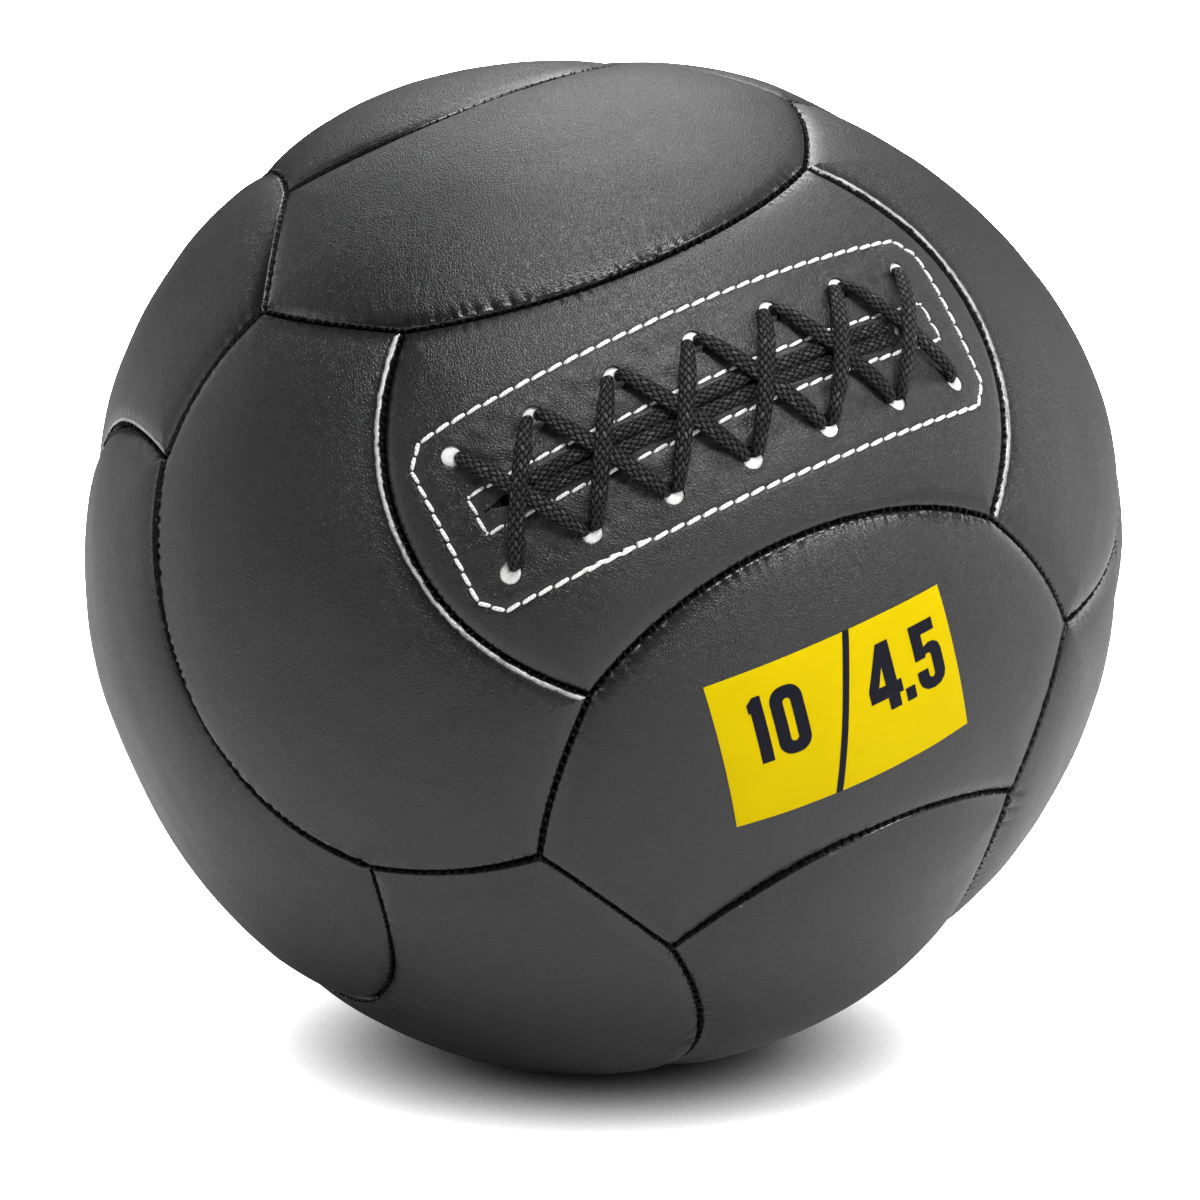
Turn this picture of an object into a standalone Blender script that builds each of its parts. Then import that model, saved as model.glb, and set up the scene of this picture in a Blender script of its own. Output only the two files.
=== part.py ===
"""A laced wall ball: eighteen sewn leather panels round a cloth casing, padding and a ballast bag.

The seams follow one pattern that repeats over the faces of a cube. Six four-sided panels sit on the
cube's faces and twelve crescents lie over its edges. In the pattern's own frame the laced panel faces
+X, its slit runs along Y, and the ball's centre is the origin. "Along" is a length beside the slit,
"across" a length square to it, both measured on the ball, and "height" is above the leather.
Metres, +Z up. The origin is where the ball's flattened underside meets the ground.
"""

import math

import bmesh
import bpy
from mathutils import Euler, Vector

# Ball, panels and seams
BALL_DIAMETER = 0.356
LEATHER = 0.002
SEAM_SINK = 0.0035
ROLL_WIDTH = 0.0045
SEAM_ALLOWANCE = 0.007
SEAM_GAP = 0.00035

# The seam pattern, as shares of half the cube's side
SQUARE_LENGTH_SHARE = 0.533
SQUARE_HEIGHT_SHARE = 0.466
END_BOW_SHARE = 0.239
SIDE_DRAW_SHARE = 0.163
SHORT_BOW_SHARE = -0.025
END_BOW_POWER = 2.25
SIDE_DRAW_POWER = 2.0
LONG_SEAM_CELLS = 8
SHORT_SEAM_CELLS = 3

# How the ball lies: its turn about X, Y and Z, and how its weight flattens it
BALL_TURN_DEGREES = (19.6, -29.5, -74.2)
SETTLE_DEPTH = 0.006
FLAT_DEPTH = 0.0005

# Lacing
HOLES_IN_ROW = 7
HOLE_PITCH = 0.029
ROW_OFFSET = 0.0223
HOLE_LENGTH = 0.0108
HOLE_WIDTH = 0.0072
SLIT_WIDTH = 0.001
SLIT_END_MARGIN = 0.002
MOUTH_INSET = 0.008
MOUTH_WIDTH = 0.0096
MOUTH_HEIGHT = 0.0122
LACE_WIDTH = 0.006
LACE_THICKNESS = 0.003
LACE_ROUND = 0.0044
LACE_SIDES = 6
STRAND_GAP = 0.0004
LACING_ALONG = -0.0022
LACING_ACROSS = -0.0013
TOP_LAYER = 2
HOLE_SEGMENTS = 10
SLIT_SEGMENTS = 12

# The lace's bends, as shares of its round or its flat section
FOOT_REACH_SHARE = 1.25
FOOT_RISE_SHARE = 0.333
SHOULDER_REACH_SHARE = 1.3
SHOULDER_DROP_SHARE = 0.125
LIP_REACH_SHARE = 0.25
ELBOW_SHARE = 0.2
TAIL_BACK_SHARE = 0.333
TAIL_FLAT_SHARE = 2.0

# White patch behind the lacing, and the thread that holds it
PATCH = 0.001
PATCH_CLEARANCE = 0.00045
PATCH_EDGE = 0.004
PATCH_CORNER = 0.008
THREAD = 0.0009
OUTER_STITCH_PAST_ROW = 0.014
OUTER_STITCH_PAST_HOLES = 0.0102
OUTER_STITCH_CORNER = 0.007
SLIT_STITCH_PAST_ROW = 0.0015
SLIT_STITCH_OFFSET = 0.0072
SLIT_STITCH_CORNER = 0.001
STITCH_STEP = 0.015

# Weight label
LABEL_WIDTH = 0.089
LABEL_HEIGHT = 0.053
LABEL_DROP = 0.0056
LABEL_FILM = 0.0005
LABEL_SPLIT = 0.0034
LABEL_SPLIT_OFFSET = -0.001
LABEL_SPLIT_LEAN = 0.0147
SHEET_CELL = 0.015

# Inside: casing, padding and ballast
CASING = 0.001
CASING_CLEARANCE = 0.0009
CASING_MOUTH = 0.15
CASING_MOUTH_WIDTH = 0.0012
CASING_CELLS = 6
PADDING_CLEARANCE = 0.0016
PADDING_SPLIT = 0.0004
BAG_DIAMETER = 0.11
BAG_WALL = 0.001
BAG_NECK = 0.014
BAG_NECK_SEGMENTS = 12
BAG_CELLS = 4
BAG_CLEARANCE = 0.0008
BALLAST_CLEARANCE = 0.0004

# Shared by all pieces
CLEARANCE = 0.0003
OVERRUN = 0.02
MERGE_DISTANCE = 0.000003
SHARP_DEGREES = 50

BALL_RADIUS = BALL_DIAMETER / 2
SEAM_RADIUS = BALL_RADIUS - SEAM_SINK
EDGE_RADIUS = SEAM_RADIUS - SEAM_ALLOWANCE
CASING_RADIUS = EDGE_RADIUS - CASING_CLEARANCE
PADDING_RADIUS = CASING_RADIUS - CASING - PADDING_CLEARANCE
ROW_HALF = HOLE_PITCH * (HOLES_IN_ROW - 1) / 2
MOUTH_PLACE = ROW_HALF - MOUTH_INSET
SETTLE_ANGLE = math.sqrt(2 * SETTLE_DEPTH / BALL_RADIUS)
CENTRE_HEIGHT = BALL_RADIUS - SETTLE_DEPTH - FLAT_DEPTH
OUTER_STITCH_OFFSET = ROW_OFFSET + OUTER_STITCH_PAST_HOLES
ON_LEATHER = CLEARANCE + LACE_THICKNESS / 2
LAYER = LACE_THICKNESS + STRAND_GAP
UNDER_PATCH = LEATHER + PATCH_CLEARANCE + PATCH + STRAND_GAP * 2 + LACE_THICKNESS / 2
HALF_STRAND = (LACE_ROUND + STRAND_GAP) / 2
HUG = (HOLE_WIDTH - LACE_ROUND) / 2 - STRAND_GAP * 2
HUG_OFFSET = ROW_OFFSET - HUG
LIP_HEIGHT = LACE_ROUND / 2
ELBOW = LACE_ROUND * ELBOW_SHARE
BALL_TURN = Euler([math.radians(turn) for turn in BALL_TURN_DEGREES]).to_matrix()

SIDE_WORDS = (("back", "front"), ("left", "right"), ("bottom", "top"))


def clear_scene():
    for thing in list(bpy.data.objects):
        bpy.data.objects.remove(thing, do_unlink=True)


def new_collection(name, shown=True):
    collection = bpy.data.collections.new(name)
    bpy.context.scene.collection.children.link(collection)
    collection.hide_render = not shown
    return collection


def new_material(name, colour, roughness, metallic=0.0):
    material = bpy.data.materials.new(name)
    material.use_nodes = True
    shader = material.node_tree.nodes["Principled BSDF"]
    shader.inputs["Base Color"].default_value = (*colour, 1.0)
    shader.inputs["Roughness"].default_value = roughness
    shader.inputs["Metallic"].default_value = metallic
    return material


def settled(point):
    """A point of the turned ball after its weight has flattened the underside."""
    from_below = math.acos(max(-1.0, min(1.0, -point.z / point.length)))
    return point + Vector((0, 0, SETTLE_DEPTH * math.exp(-((from_below / SETTLE_ANGLE) ** 2))))


def in_world(point):
    """A point given in the pattern's frame, where it lies on the ball at rest, from its centre."""
    return settled(BALL_TURN @ point)


def new_part(name, bm, material, collection, centre, turn=True):
    """A mesh drawn in the pattern's frame, as an object that hangs on the ball's centre."""
    if turn:
        for vertex in bm.verts:
            vertex.co = in_world(vertex.co)
    mesh = bpy.data.meshes.new(name)
    bm.to_mesh(mesh)
    bm.free()
    mesh.shade_smooth()
    mesh.set_sharp_from_angle(angle=math.radians(SHARP_DEGREES))
    if material:
        mesh.materials.append(material)
    part = bpy.data.objects.new(name, mesh)
    part.parent = centre
    collection.objects.link(part)
    return part


def new_cutter(name, bm, collection, centre, turn=True):
    """A helper mesh that is taken from parts and never shown."""
    cutter = new_part(name, bm, None, collection, centre, turn)
    cutter.display_type = "WIRE"
    cutter.hide_render = True
    return cutter


def solidify(part, thickness):
    shell = part.modifiers.new("wall", "SOLIDIFY")
    shell.thickness = thickness
    shell.offset = -1
    shell.use_even_offset = True
    return shell


def cut(part, cutter):
    """Takes a cutter, or all of a collection of cutters, from the part."""
    boolean = part.modifiers.new("cut", "BOOLEAN")
    boolean.operation = "DIFFERENCE"
    if isinstance(cutter, bpy.types.Collection):
        boolean.operand_type = "COLLECTION"
        boolean.collection = cutter
    else:
        boolean.object = cutter
    return boolean


def on_panel(along, across, height=0.0):
    """A point by its place beside the slit's middle and its height above the leather."""
    along += LACING_ALONG
    across += LACING_ACROSS
    reach = math.hypot(along, across)
    angle = reach / BALL_RADIUS
    away = Vector((0, along, across)) / reach if reach else Vector((0, 1, 0))
    direction = Vector((1, 0, 0)) * math.cos(angle) + away * math.sin(angle)
    return direction * (BALL_RADIUS + height)


def end_seam(share):
    """The bowed seam at the laced panel's +Y end, from its lower to its upper corner."""
    bow = END_BOW_SHARE * (1 - abs(2 * share - 1) ** END_BOW_POWER)
    return Vector((1, SQUARE_LENGTH_SHARE + bow, SQUARE_HEIGHT_SHARE * (2 * share - 1))).normalized()


def side_seam(share):
    """The drawn-in seam above the laced panel, from its -Y to its +Y corner."""
    draw = SIDE_DRAW_SHARE * (1 - abs(2 * share - 1) ** SIDE_DRAW_POWER)
    return Vector((1, SQUARE_LENGTH_SHARE * (2 * share - 1), SQUARE_HEIGHT_SHARE - draw)).normalized()


def short_seam(share):
    """The seam from the laced panel's +Y +Z corner to the cube's corner."""
    start = Vector((1, SQUARE_LENGTH_SHARE, SQUARE_HEIGHT_SHARE))
    way = Vector((1, 1, 1)) - start
    bow = Vector((0, -way.z, way.y)) * SHORT_BOW_SHARE * 4 * share * (1 - share)
    return (start + way * share + bow).normalized()


def rolled(point, turns):
    """The point with its three numbers moved round, as the pattern repeats from face to face."""
    numbers = list(point)
    return Vector(numbers[-turns:] + numbers[:-turns]) if turns else Vector(numbers)


def signed(point, signs):
    return Vector(number * sign for number, sign in zip(point, signs))


def seam_shares(cells, length, rolled_ends):
    """Places along a seam: a narrow cell where an edge is rolled, and even cells between."""
    roll = ROLL_WIDTH / length
    even = cells - rolled_ends
    stretch = 1 - rolled_ends * roll
    shares = [0.0] + [roll + stretch * step / even for step in range(even + 1)]
    return shares + [1.0] if rolled_ends == 2 else shares


def seam_length(seam):
    return BALL_RADIUS * seam(0.0).angle(seam(1.0))


def square_outline():
    """The laced panel's four sides, each a list of points, with each point's share of the way."""
    shares = seam_shares(LONG_SEAM_CELLS, seam_length(side_seam), 2)
    upper = [side_seam(share) for share in shares]
    right = [end_seam(share) for share in shares]
    lower = [signed(point, (1, 1, -1)) for point in upper]
    left = [signed(point, (1, -1, 1)) for point in right]
    return shares, shares, lower, upper, left, right


def crescent_outline():
    """The sides of the crescent between the +X and the +Z panel, its tips halfway up its ends."""
    shares = seam_shares(LONG_SEAM_CELLS, seam_length(side_seam), 2)
    lower = [side_seam(share) for share in shares]
    upper = [rolled(end_seam(share), 2) for share in shares]
    short = seam_shares(SHORT_SEAM_CELLS, seam_length(short_seam), 1)
    near = [short_seam(share) for share in short]
    far = [rolled(short_seam(share), 2) for share in reversed(short)]
    rows = [share / 2 for share in short] + [1 - share / 2 for share in reversed(short[:-1])]
    right = near + far[1:]
    left = [signed(point, (1, -1, 1)) for point in right]
    return shares, rows, lower, upper, left, right


def halved(items):
    """The list with the mean of each neighbouring pair put between them."""
    finer = [items[0]]
    for before, after in zip(items, items[1:]):
        finer += [(before + after) / 2, after]
    return finer


def panel_surface(outline, finer):
    """A panel's outer face with its rolled edges, open at the back, in the pattern's frame."""
    columns, rows, lower, upper, left, right = [halved(side) for side in outline] if finer else outline
    last_column = len(columns) - 1
    last_row = len(rows) - 1
    roll_lines = 2 if finer else 1
    bm = bmesh.new()
    bmesh.ops.create_grid(bm, x_segments=last_column, y_segments=last_row, size=0.5)
    for vertex in bm.verts:
        column = round((vertex.co.x + 0.5) * last_column)
        row = round((vertex.co.y + 0.5) * last_row)
        u = columns[column]
        v = rows[row]
        across = lower[column] * (1 - v) + upper[column] * v
        along = left[row] * (1 - u) + right[row] * u
        corners = (left[0] * (1 - u) + right[0] * u) * (1 - v) + (left[-1] * (1 - u) + right[-1] * u) * v
        point = across + along - corners
        inward = min(column, last_column - column, row, last_row - row) / roll_lines
        if inward == 0:
            vertex.co = point * SEAM_RADIUS
        else:
            rise = math.sqrt(1 - (1 - min(inward, 1.0)) ** 2)
            vertex.co = point.normalized() * (SEAM_RADIUS + SEAM_SINK * rise)
    return bm


def face_outwards(bm):
    """Turns an open surface's faces away from the ball's centre."""
    bmesh.ops.recalc_face_normals(bm, faces=bm.faces)
    bm.faces.ensure_lookup_table()
    if sum(face.normal.dot(face.calc_center_median()) for face in bm.faces) < 0:
        bmesh.ops.reverse_faces(bm, faces=bm.faces)


def turn_in_edges(bm):
    """Leaves half the seam gap all round, then turns the edge in towards the ball's centre."""
    rim = bmesh.ops.inset_region(
        bm, faces=bm.faces, thickness=SEAM_GAP / 2, use_boundary=True, use_even_offset=True
    )["faces"]
    bmesh.ops.delete(bm, geom=rim, context="FACES")
    edges = [edge for edge in bm.edges if edge.is_boundary]
    turned = bmesh.ops.extrude_edge_only(bm, edges=edges)["geom"]
    for vertex in turned:
        if isinstance(vertex, bmesh.types.BMVert):
            vertex.co *= 1 - SEAM_ALLOWANCE / vertex.co.length


def new_panel(name, outline, turns, signs, finer, kit):
    bm = panel_surface(outline, finer)
    for vertex in bm.verts:
        vertex.co = signed(rolled(vertex.co, turns), signs)
    face_outwards(bm)
    turn_in_edges(bm)
    face_outwards(bm)
    panel = new_part(name, bm, kit["materials"]["leather"], kit["parts"], kit["centre"])
    solidify(panel, LEATHER)
    return panel


def new_panels(kit):
    """All eighteen panels by name. The laced one is finer, for its holes."""
    panels = {}
    for turns in range(3):
        face = turns
        for side in (-1, 1):
            name = f"square_panel_{SIDE_WORDS[face][side > 0]}"
            if name == "square_panel_front":
                name = "laced_panel"
            signs = [side if axis == face else 1 for axis in range(3)]
            panels[name] = new_panel(
                name, square_outline(), turns, signs, name == "laced_panel", kit
            )
        other = (face + 2) % 3
        for side in (-1, 1):
            for other_side in (-1, 1):
                sides = {face: side, other: other_side}
                words = "_".join(SIDE_WORDS[axis][sides[axis] > 0] for axis in sorted(sides))
                name = f"crescent_panel_{words}"
                signs = [sides.get(axis, 1) for axis in range(3)]
                panels[name] = new_panel(name, crescent_outline(), turns, signs, False, kit)
    return panels


def add_floor_cut(panels, kit):
    """Cuts the panels that the ball lies on flat, at the ground."""
    bm = bmesh.new()
    bmesh.ops.create_cube(bm, size=1.0)
    for vertex in bm.verts:
        vertex.co.x *= BALL_DIAMETER
        vertex.co.y *= BALL_DIAMETER
        vertex.co.z = (vertex.co.z - 0.5) * OVERRUN - CENTRE_HEIGHT
    floor = new_cutter("floor_cutter", bm, kit["cutters"], kit["centre"], turn=False)
    for panel in panels.values():
        if min(vertex.co.z for vertex in panel.data.vertices) < -CENTRE_HEIGHT:
            cut(panel, floor)


def slot_cutter(name, along, across, length, width, upright, collection, centre):
    """A round-ended slot through the leather and the patch, pointing at the ball's centre."""
    bm = bmesh.new()
    bmesh.ops.create_cone(
        bm, cap_ends=True, segments=HOLE_SEGMENTS, radius1=0.5, radius2=0.5, depth=OVERRUN
    )
    for vertex in bm.verts:
        long_way = vertex.co.y * width + math.copysign((length - width) / 2, vertex.co.y)
        short_way = vertex.co.x * width
        if upright:
            vertex.co = on_panel(along + short_way, across + long_way, vertex.co.z)
        else:
            vertex.co = on_panel(along + long_way, across - short_way, vertex.co.z)
    new_cutter(name, bm, collection, centre)


def hole_place(number):
    return HOLE_PITCH * number - ROW_HALF


def slit_cutter(name, half_length, width, depth, collection, centre):
    """A thin curved blade on the slit's line, from above the leather down to the depth."""
    bm = bmesh.new()
    bmesh.ops.create_cube(bm, size=1.0)
    long_edges = [edge for edge in bm.edges if edge.verts[0].co.x != edge.verts[1].co.x]
    bmesh.ops.subdivide_edges(bm, edges=long_edges, cuts=SLIT_SEGMENTS - 1, use_grid_fill=True)
    for vertex in bm.verts:
        height = OVERRUN if vertex.co.z > 0 else -depth
        vertex.co = on_panel(vertex.co.x * 2 * half_length, vertex.co.y * width, height)
    return new_cutter(name, bm, collection, centre)


def add_lacing_cutters(collection, centre):
    for row, side in (("upper", 1), ("lower", -1)):
        for number in range(HOLES_IN_ROW):
            slot_cutter(
                f"{row}_hole_{number}", hole_place(number), side * ROW_OFFSET,
                HOLE_LENGTH, HOLE_WIDTH, False, collection, centre,
            )
    for name, side in (("left_mouth", -1), ("right_mouth", 1)):
        slot_cutter(name, side * MOUTH_PLACE, 0.0, MOUTH_HEIGHT, MOUTH_WIDTH, True, collection, centre)
    slit_cutter("slit_blade", ROW_HALF - SLIT_END_MARGIN, SLIT_WIDTH, OVERRUN / 2, collection, centre)


def chamfered(half_length, half_height, corner):
    """The corners of a chamfered rectangle, in order round it."""
    inner_length = half_length - corner
    inner_height = half_height - corner
    quarter = [(half_length, inner_height), (inner_length, half_height)]
    return (
        quarter
        + [(-x, y) for x, y in reversed(quarter)]
        + [(-x, -y) for x, y in quarter]
        + [(x, -y) for x, y in reversed(quarter)]
    )


def stitch_outline(past_row, offset, corner):
    return chamfered(ROW_HALF + past_row, offset, corner)


def add_patch(cutters, kit):
    """The white patch that backs the lacing, sewn on by the outer topstitch."""
    outline = stitch_outline(
        OUTER_STITCH_PAST_ROW + PATCH_EDGE, OUTER_STITCH_OFFSET + PATCH_EDGE, PATCH_CORNER
    )
    half_length = max(x for x, _ in outline)
    half_height = max(y for _, y in outline)
    columns = round(2 * half_length / SHEET_CELL)
    rows = round(2 * half_height / SHEET_CELL)
    bm = bmesh.new()
    bmesh.ops.create_grid(bm, x_segments=columns, y_segments=rows, size=0.5)
    for vertex in bm.verts:
        vertex.co = Vector((vertex.co.x * 2 * half_length, vertex.co.y * 2 * half_height, 0))
    for x_side in (-1, 1):
        for y_side in (-1, 1):
            edge_point = Vector((x_side * (half_length - PATCH_CORNER), y_side * half_height, 0))
            bmesh.ops.bisect_plane(
                bm, geom=list(bm.verts) + list(bm.edges) + list(bm.faces), dist=MERGE_DISTANCE,
                plane_co=edge_point, plane_no=Vector((x_side, y_side, 0)), clear_outer=True,
            )
    for vertex in bm.verts:
        vertex.co = on_panel(vertex.co.x, vertex.co.y, -LEATHER - PATCH_CLEARANCE)
    face_outwards(bm)
    patch = new_part("lacing_patch", bm, kit["materials"]["white cloth"], kit["parts"], kit["centre"])
    solidify(patch, PATCH)
    cut(patch, cutters)


def add_thread(name, corners, kit):
    """A closed run of thread on the leather, through these corners."""
    height = CLEARANCE + THREAD / 2
    places = []
    for start, end in zip(corners, corners[1:] + corners[:1]):
        steps = max(1, round(math.dist(start, end) / STITCH_STEP))
        for step in range(steps):
            share = step / steps
            along = start[0] + (end[0] - start[0]) * share
            across = start[1] + (end[1] - start[1]) * share
            places.append(in_world(on_panel(along, across, height)))
    curve = bpy.data.curves.new(name, "CURVE")
    curve.dimensions = "3D"
    curve.bevel_depth = THREAD / 2
    curve.bevel_resolution = 1
    run = curve.splines.new("POLY")
    run.points.add(len(places) - 1)
    for point, place in zip(run.points, places):
        point.co = (*place, 1.0)
    run.use_cyclic_u = True
    curve.materials.append(kit["materials"]["white thread"])
    thread = bpy.data.objects.new(name, curve)
    thread.parent = kit["centre"]
    kit["parts"].objects.link(thread)


class LaceKey:
    """One place on the lace's route, with its section and the way the section's width points."""

    def __init__(self, along, across, height, width, thickness, lean=(1.0, 0.0)):
        self.point = on_panel(along, across, height)
        self.outward = self.point.normalized()
        self.width = width
        self.thickness = thickness
        lean = Vector((0, *lean))
        self.lean = lean - self.outward * lean.dot(self.outward)


def round_key(along, across, height, lean=(1.0, 0.0)):
    return LaceKey(along, across, height, LACE_ROUND, LACE_ROUND, lean)


def flat_key(along, across, height, lean=(1.0, 0.0)):
    return LaceKey(along, across, height, LACE_WIDTH, LACE_THICKNESS, lean)


def strand_side(number, way):
    """How far a strand lies from its hole's middle: the end holes carry only one strand."""
    return 0.0 if number in (0, HOLES_IN_ROW - 1) else way * HALF_STRAND


def hole_key(number, side, way):
    return round_key(hole_place(number) + strand_side(number, way), side * HUG_OFFSET, -LEATHER / 2)


def crossing(start, start_side, start_way, end, end_way, layer):
    """Keys of a strand over the leather between two holes on opposite rows, without the holes."""
    start_along = hole_place(start) + strand_side(start, start_way)
    end_along = hole_place(end) + strand_side(end, end_way)
    lip = HUG_OFFSET - LACE_ROUND * LIP_REACH_SHARE
    foot = lip - LACE_ROUND * FOOT_REACH_SHARE
    foot_height = ON_LEATHER + LACE_THICKNESS * FOOT_RISE_SHARE
    shoulder = LACE_WIDTH * SHOULDER_REACH_SHARE
    top = ON_LEATHER + LAYER * layer
    shoulder_height = top - LACE_THICKNESS * SHOULDER_DROP_SHARE * (TOP_LAYER - layer)
    keys = []
    for across, height, key in (
        (lip, LIP_HEIGHT, round_key),
        (foot, foot_height, flat_key),
        (shoulder, shoulder_height, flat_key),
        (0.0, top, flat_key),
        (-shoulder, shoulder_height, flat_key),
        (-foot, foot_height, flat_key),
        (-lip, LIP_HEIGHT, round_key),
    ):
        share = (HUG_OFFSET - across) / (2 * HUG_OFFSET)
        along = start_along + (end_along - start_along) * share
        keys.append(key(along, start_side * across, height))
    return keys


def inner_run(number, start_side, start_way, end_way, layer):
    """Keys of a strand under the patch, between the two holes of one number."""
    start_along = hole_place(number) + strand_side(number, start_way)
    end_along = hole_place(number) + strand_side(number, end_way)
    depth = UNDER_PATCH + LAYER * layer
    bend = HUG_OFFSET - LACE_ROUND
    keys = [round_key(start_along, start_side * HUG_OFFSET, ELBOW - depth)]
    for across in (bend, 0.0, -bend):
        share = (bend - across) / (2 * bend)
        along = start_along + (end_along - start_along) * share
        keys.append(LaceKey(along, start_side * across, -depth, LACE_ROUND, LACE_THICKNESS))
    keys.append(round_key(end_along, -start_side * HUG_OFFSET, ELBOW - depth))
    return keys


def lace_tail(side):
    """Keys of one loose end, tucked in at the left, along the slit and in at the right."""
    beside = (LACE_WIDTH + STRAND_GAP) / 2
    lean = (0.0, -side)
    slant = (1.0, -side)
    tucked = -MOUTH_PLACE - LACE_ROUND * TAIL_BACK_SHARE
    lip = MOUTH_PLACE - LACE_ROUND / 2
    keys = [
        round_key(tucked, side * HALF_STRAND, -UNDER_PATCH, lean),
        round_key(-MOUTH_PLACE, side * HALF_STRAND, -LEATHER / 2, lean),
        flat_key(-lip, side * beside, ON_LEATHER, lean),
    ]
    flat_half = MOUTH_PLACE - LACE_ROUND * TAIL_FLAT_SHARE
    steps = 2 * (HOLES_IN_ROW - 2)
    for step in range(steps + 1):
        along = flat_half * (2 * step / steps - 1)
        keys.append(flat_key(along, side * beside, ON_LEATHER, lean))
    keys += [
        flat_key(lip, side * beside, ON_LEATHER, lean),
        round_key(MOUTH_PLACE, side * HALF_STRAND, -LEATHER / 2, lean),
        round_key(MOUTH_PLACE + ELBOW, side * HALF_STRAND, -UNDER_PATCH, slant),
        round_key(
            (MOUTH_PLACE + LACE_ROUND + ROW_HALF) / 2, side * ROW_OFFSET / 2,
            -UNDER_PATCH - ELBOW, slant,
        ),
        round_key(ROW_HALF, side * (HUG_OFFSET - LACE_ROUND), -UNDER_PATCH - ELBOW),
        round_key(ROW_HALF, side * HUG_OFFSET, ELBOW - UNDER_PATCH),
    ]
    return keys


def lace_route():
    """The whole lace from end to end: out along the slit, back through the holes, and again."""
    last = HOLES_IN_ROW - 1
    keys = lace_tail(1)
    for number in range(last, 0, -1):
        keys.append(hole_key(number, 1, -1))
        keys += crossing(number, 1, -1, number - 1, 1, layer=TOP_LAYER)
        keys.append(hole_key(number - 1, -1, 1))
        if number > 1:
            keys += inner_run(number - 1, -1, 1, -1, layer=0)
    keys += inner_run(0, -1, 0, 0, layer=0)
    for number in range(last):
        keys.append(hole_key(number, 1, 1))
        keys += crossing(number, 1, 1, number + 1, -1, layer=TOP_LAYER - 1)
        keys.append(hole_key(number + 1, -1, -1))
        if number + 1 < last:
            keys += inner_run(number + 1, -1, -1, 1, layer=1)
    return keys + lace_tail(-1)[::-1]


def add_lace(kit):
    """The lace as one tube, round in the holes and pressed flat where strands lie on each other."""
    keys = lace_route()
    bm = bmesh.new()
    rings = []
    for number, key in enumerate(keys):
        before = keys[max(number - 1, 0)].point
        after = keys[min(number + 1, len(keys) - 1)].point
        tangent = (after - before).normalized()
        wide = (key.lean - tangent * key.lean.dot(tangent)).normalized()
        thick = tangent.cross(wide)
        ring = []
        for side in range(LACE_SIDES):
            turn = 2 * math.pi * side / LACE_SIDES
            offset = wide * (key.width * math.cos(turn) / 2) + thick * (key.thickness * math.sin(turn) / 2)
            ring.append(bm.verts.new(key.point + offset))
        rings.append(ring)
    for ring, following in zip(rings, rings[1:]):
        for side in range(LACE_SIDES):
            other = (side + 1) % LACE_SIDES
            bm.faces.new((ring[side], ring[other], following[other], following[side]))
    bm.faces.new(rings[0])
    bm.faces.new(rings[-1][::-1])
    bmesh.ops.recalc_face_normals(bm, faces=bm.faces)
    new_part("lace", bm, kit["materials"]["lace"], kit["parts"], kit["centre"])


def label_point(along, up, height):
    """A point of the label, from the middle of the panel below the laced one."""
    near = side_seam(0.5)
    far = rolled(end_seam(0.5), 2)
    angle = (math.atan2(near.z, near.x) + math.atan2(far.z, far.x)) / 2
    angle += (LABEL_DROP - up) / BALL_RADIUS
    turn = along / BALL_RADIUS
    middle = Vector((math.cos(angle), 0, -math.sin(angle)))
    direction = middle * math.cos(turn) + Vector((0, 1, 0)) * math.sin(turn)
    return direction * (BALL_RADIUS + height)


def add_label_half(name, side, kit):
    """One half of the yellow weight label, as a film on the leather beside the slanting split."""
    rows = round(LABEL_HEIGHT / SHEET_CELL)
    columns = round(LABEL_WIDTH / 2 / SHEET_CELL)
    bm = bmesh.new()
    bmesh.ops.create_grid(bm, x_segments=columns, y_segments=rows, size=0.5)
    for vertex in bm.verts:
        up = vertex.co.y * LABEL_HEIGHT
        split = LABEL_SPLIT_OFFSET + vertex.co.y * LABEL_SPLIT_LEAN + side * LABEL_SPLIT / 2
        outer = side * LABEL_WIDTH / 2
        share = vertex.co.x + 0.5
        vertex.co = label_point(split + (outer - split) * share, up, CLEARANCE + LABEL_FILM)
    face_outwards(bm)
    film = new_part(name, bm, kit["materials"]["yellow film"], kit["parts"], kit["centre"])
    solidify(film, LABEL_FILM)


def ball_mesh(radius, cells):
    """A round ball made of the six faces of a cube, so that no faces crowd at poles."""
    bm = bmesh.new()
    bmesh.ops.create_cube(bm, size=1.0)
    bmesh.ops.subdivide_edges(bm, edges=bm.edges, cuts=cells - 1, use_grid_fill=True)
    for vertex in bm.verts:
        spread = Vector(math.tan(number * math.pi / 2) for number in vertex.co)
        vertex.co = spread.normalized() * radius
    return bm


def add_casing(kit):
    """The cloth casing inside the leather, with its filling mouth under the slit."""
    bm = ball_mesh(CASING_RADIUS, CASING_CELLS)
    casing = new_part("casing", bm, kit["materials"]["white cloth"], kit["parts"], kit["centre"])
    solidify(casing, CASING)
    depth = BALL_RADIUS - CASING_RADIUS + OVERRUN
    blade = slit_cutter(
        "casing_blade", CASING_MOUTH / 2, CASING_MOUTH_WIDTH, depth, kit["cutters"], kit["centre"]
    )
    cut(casing, blade)


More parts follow.
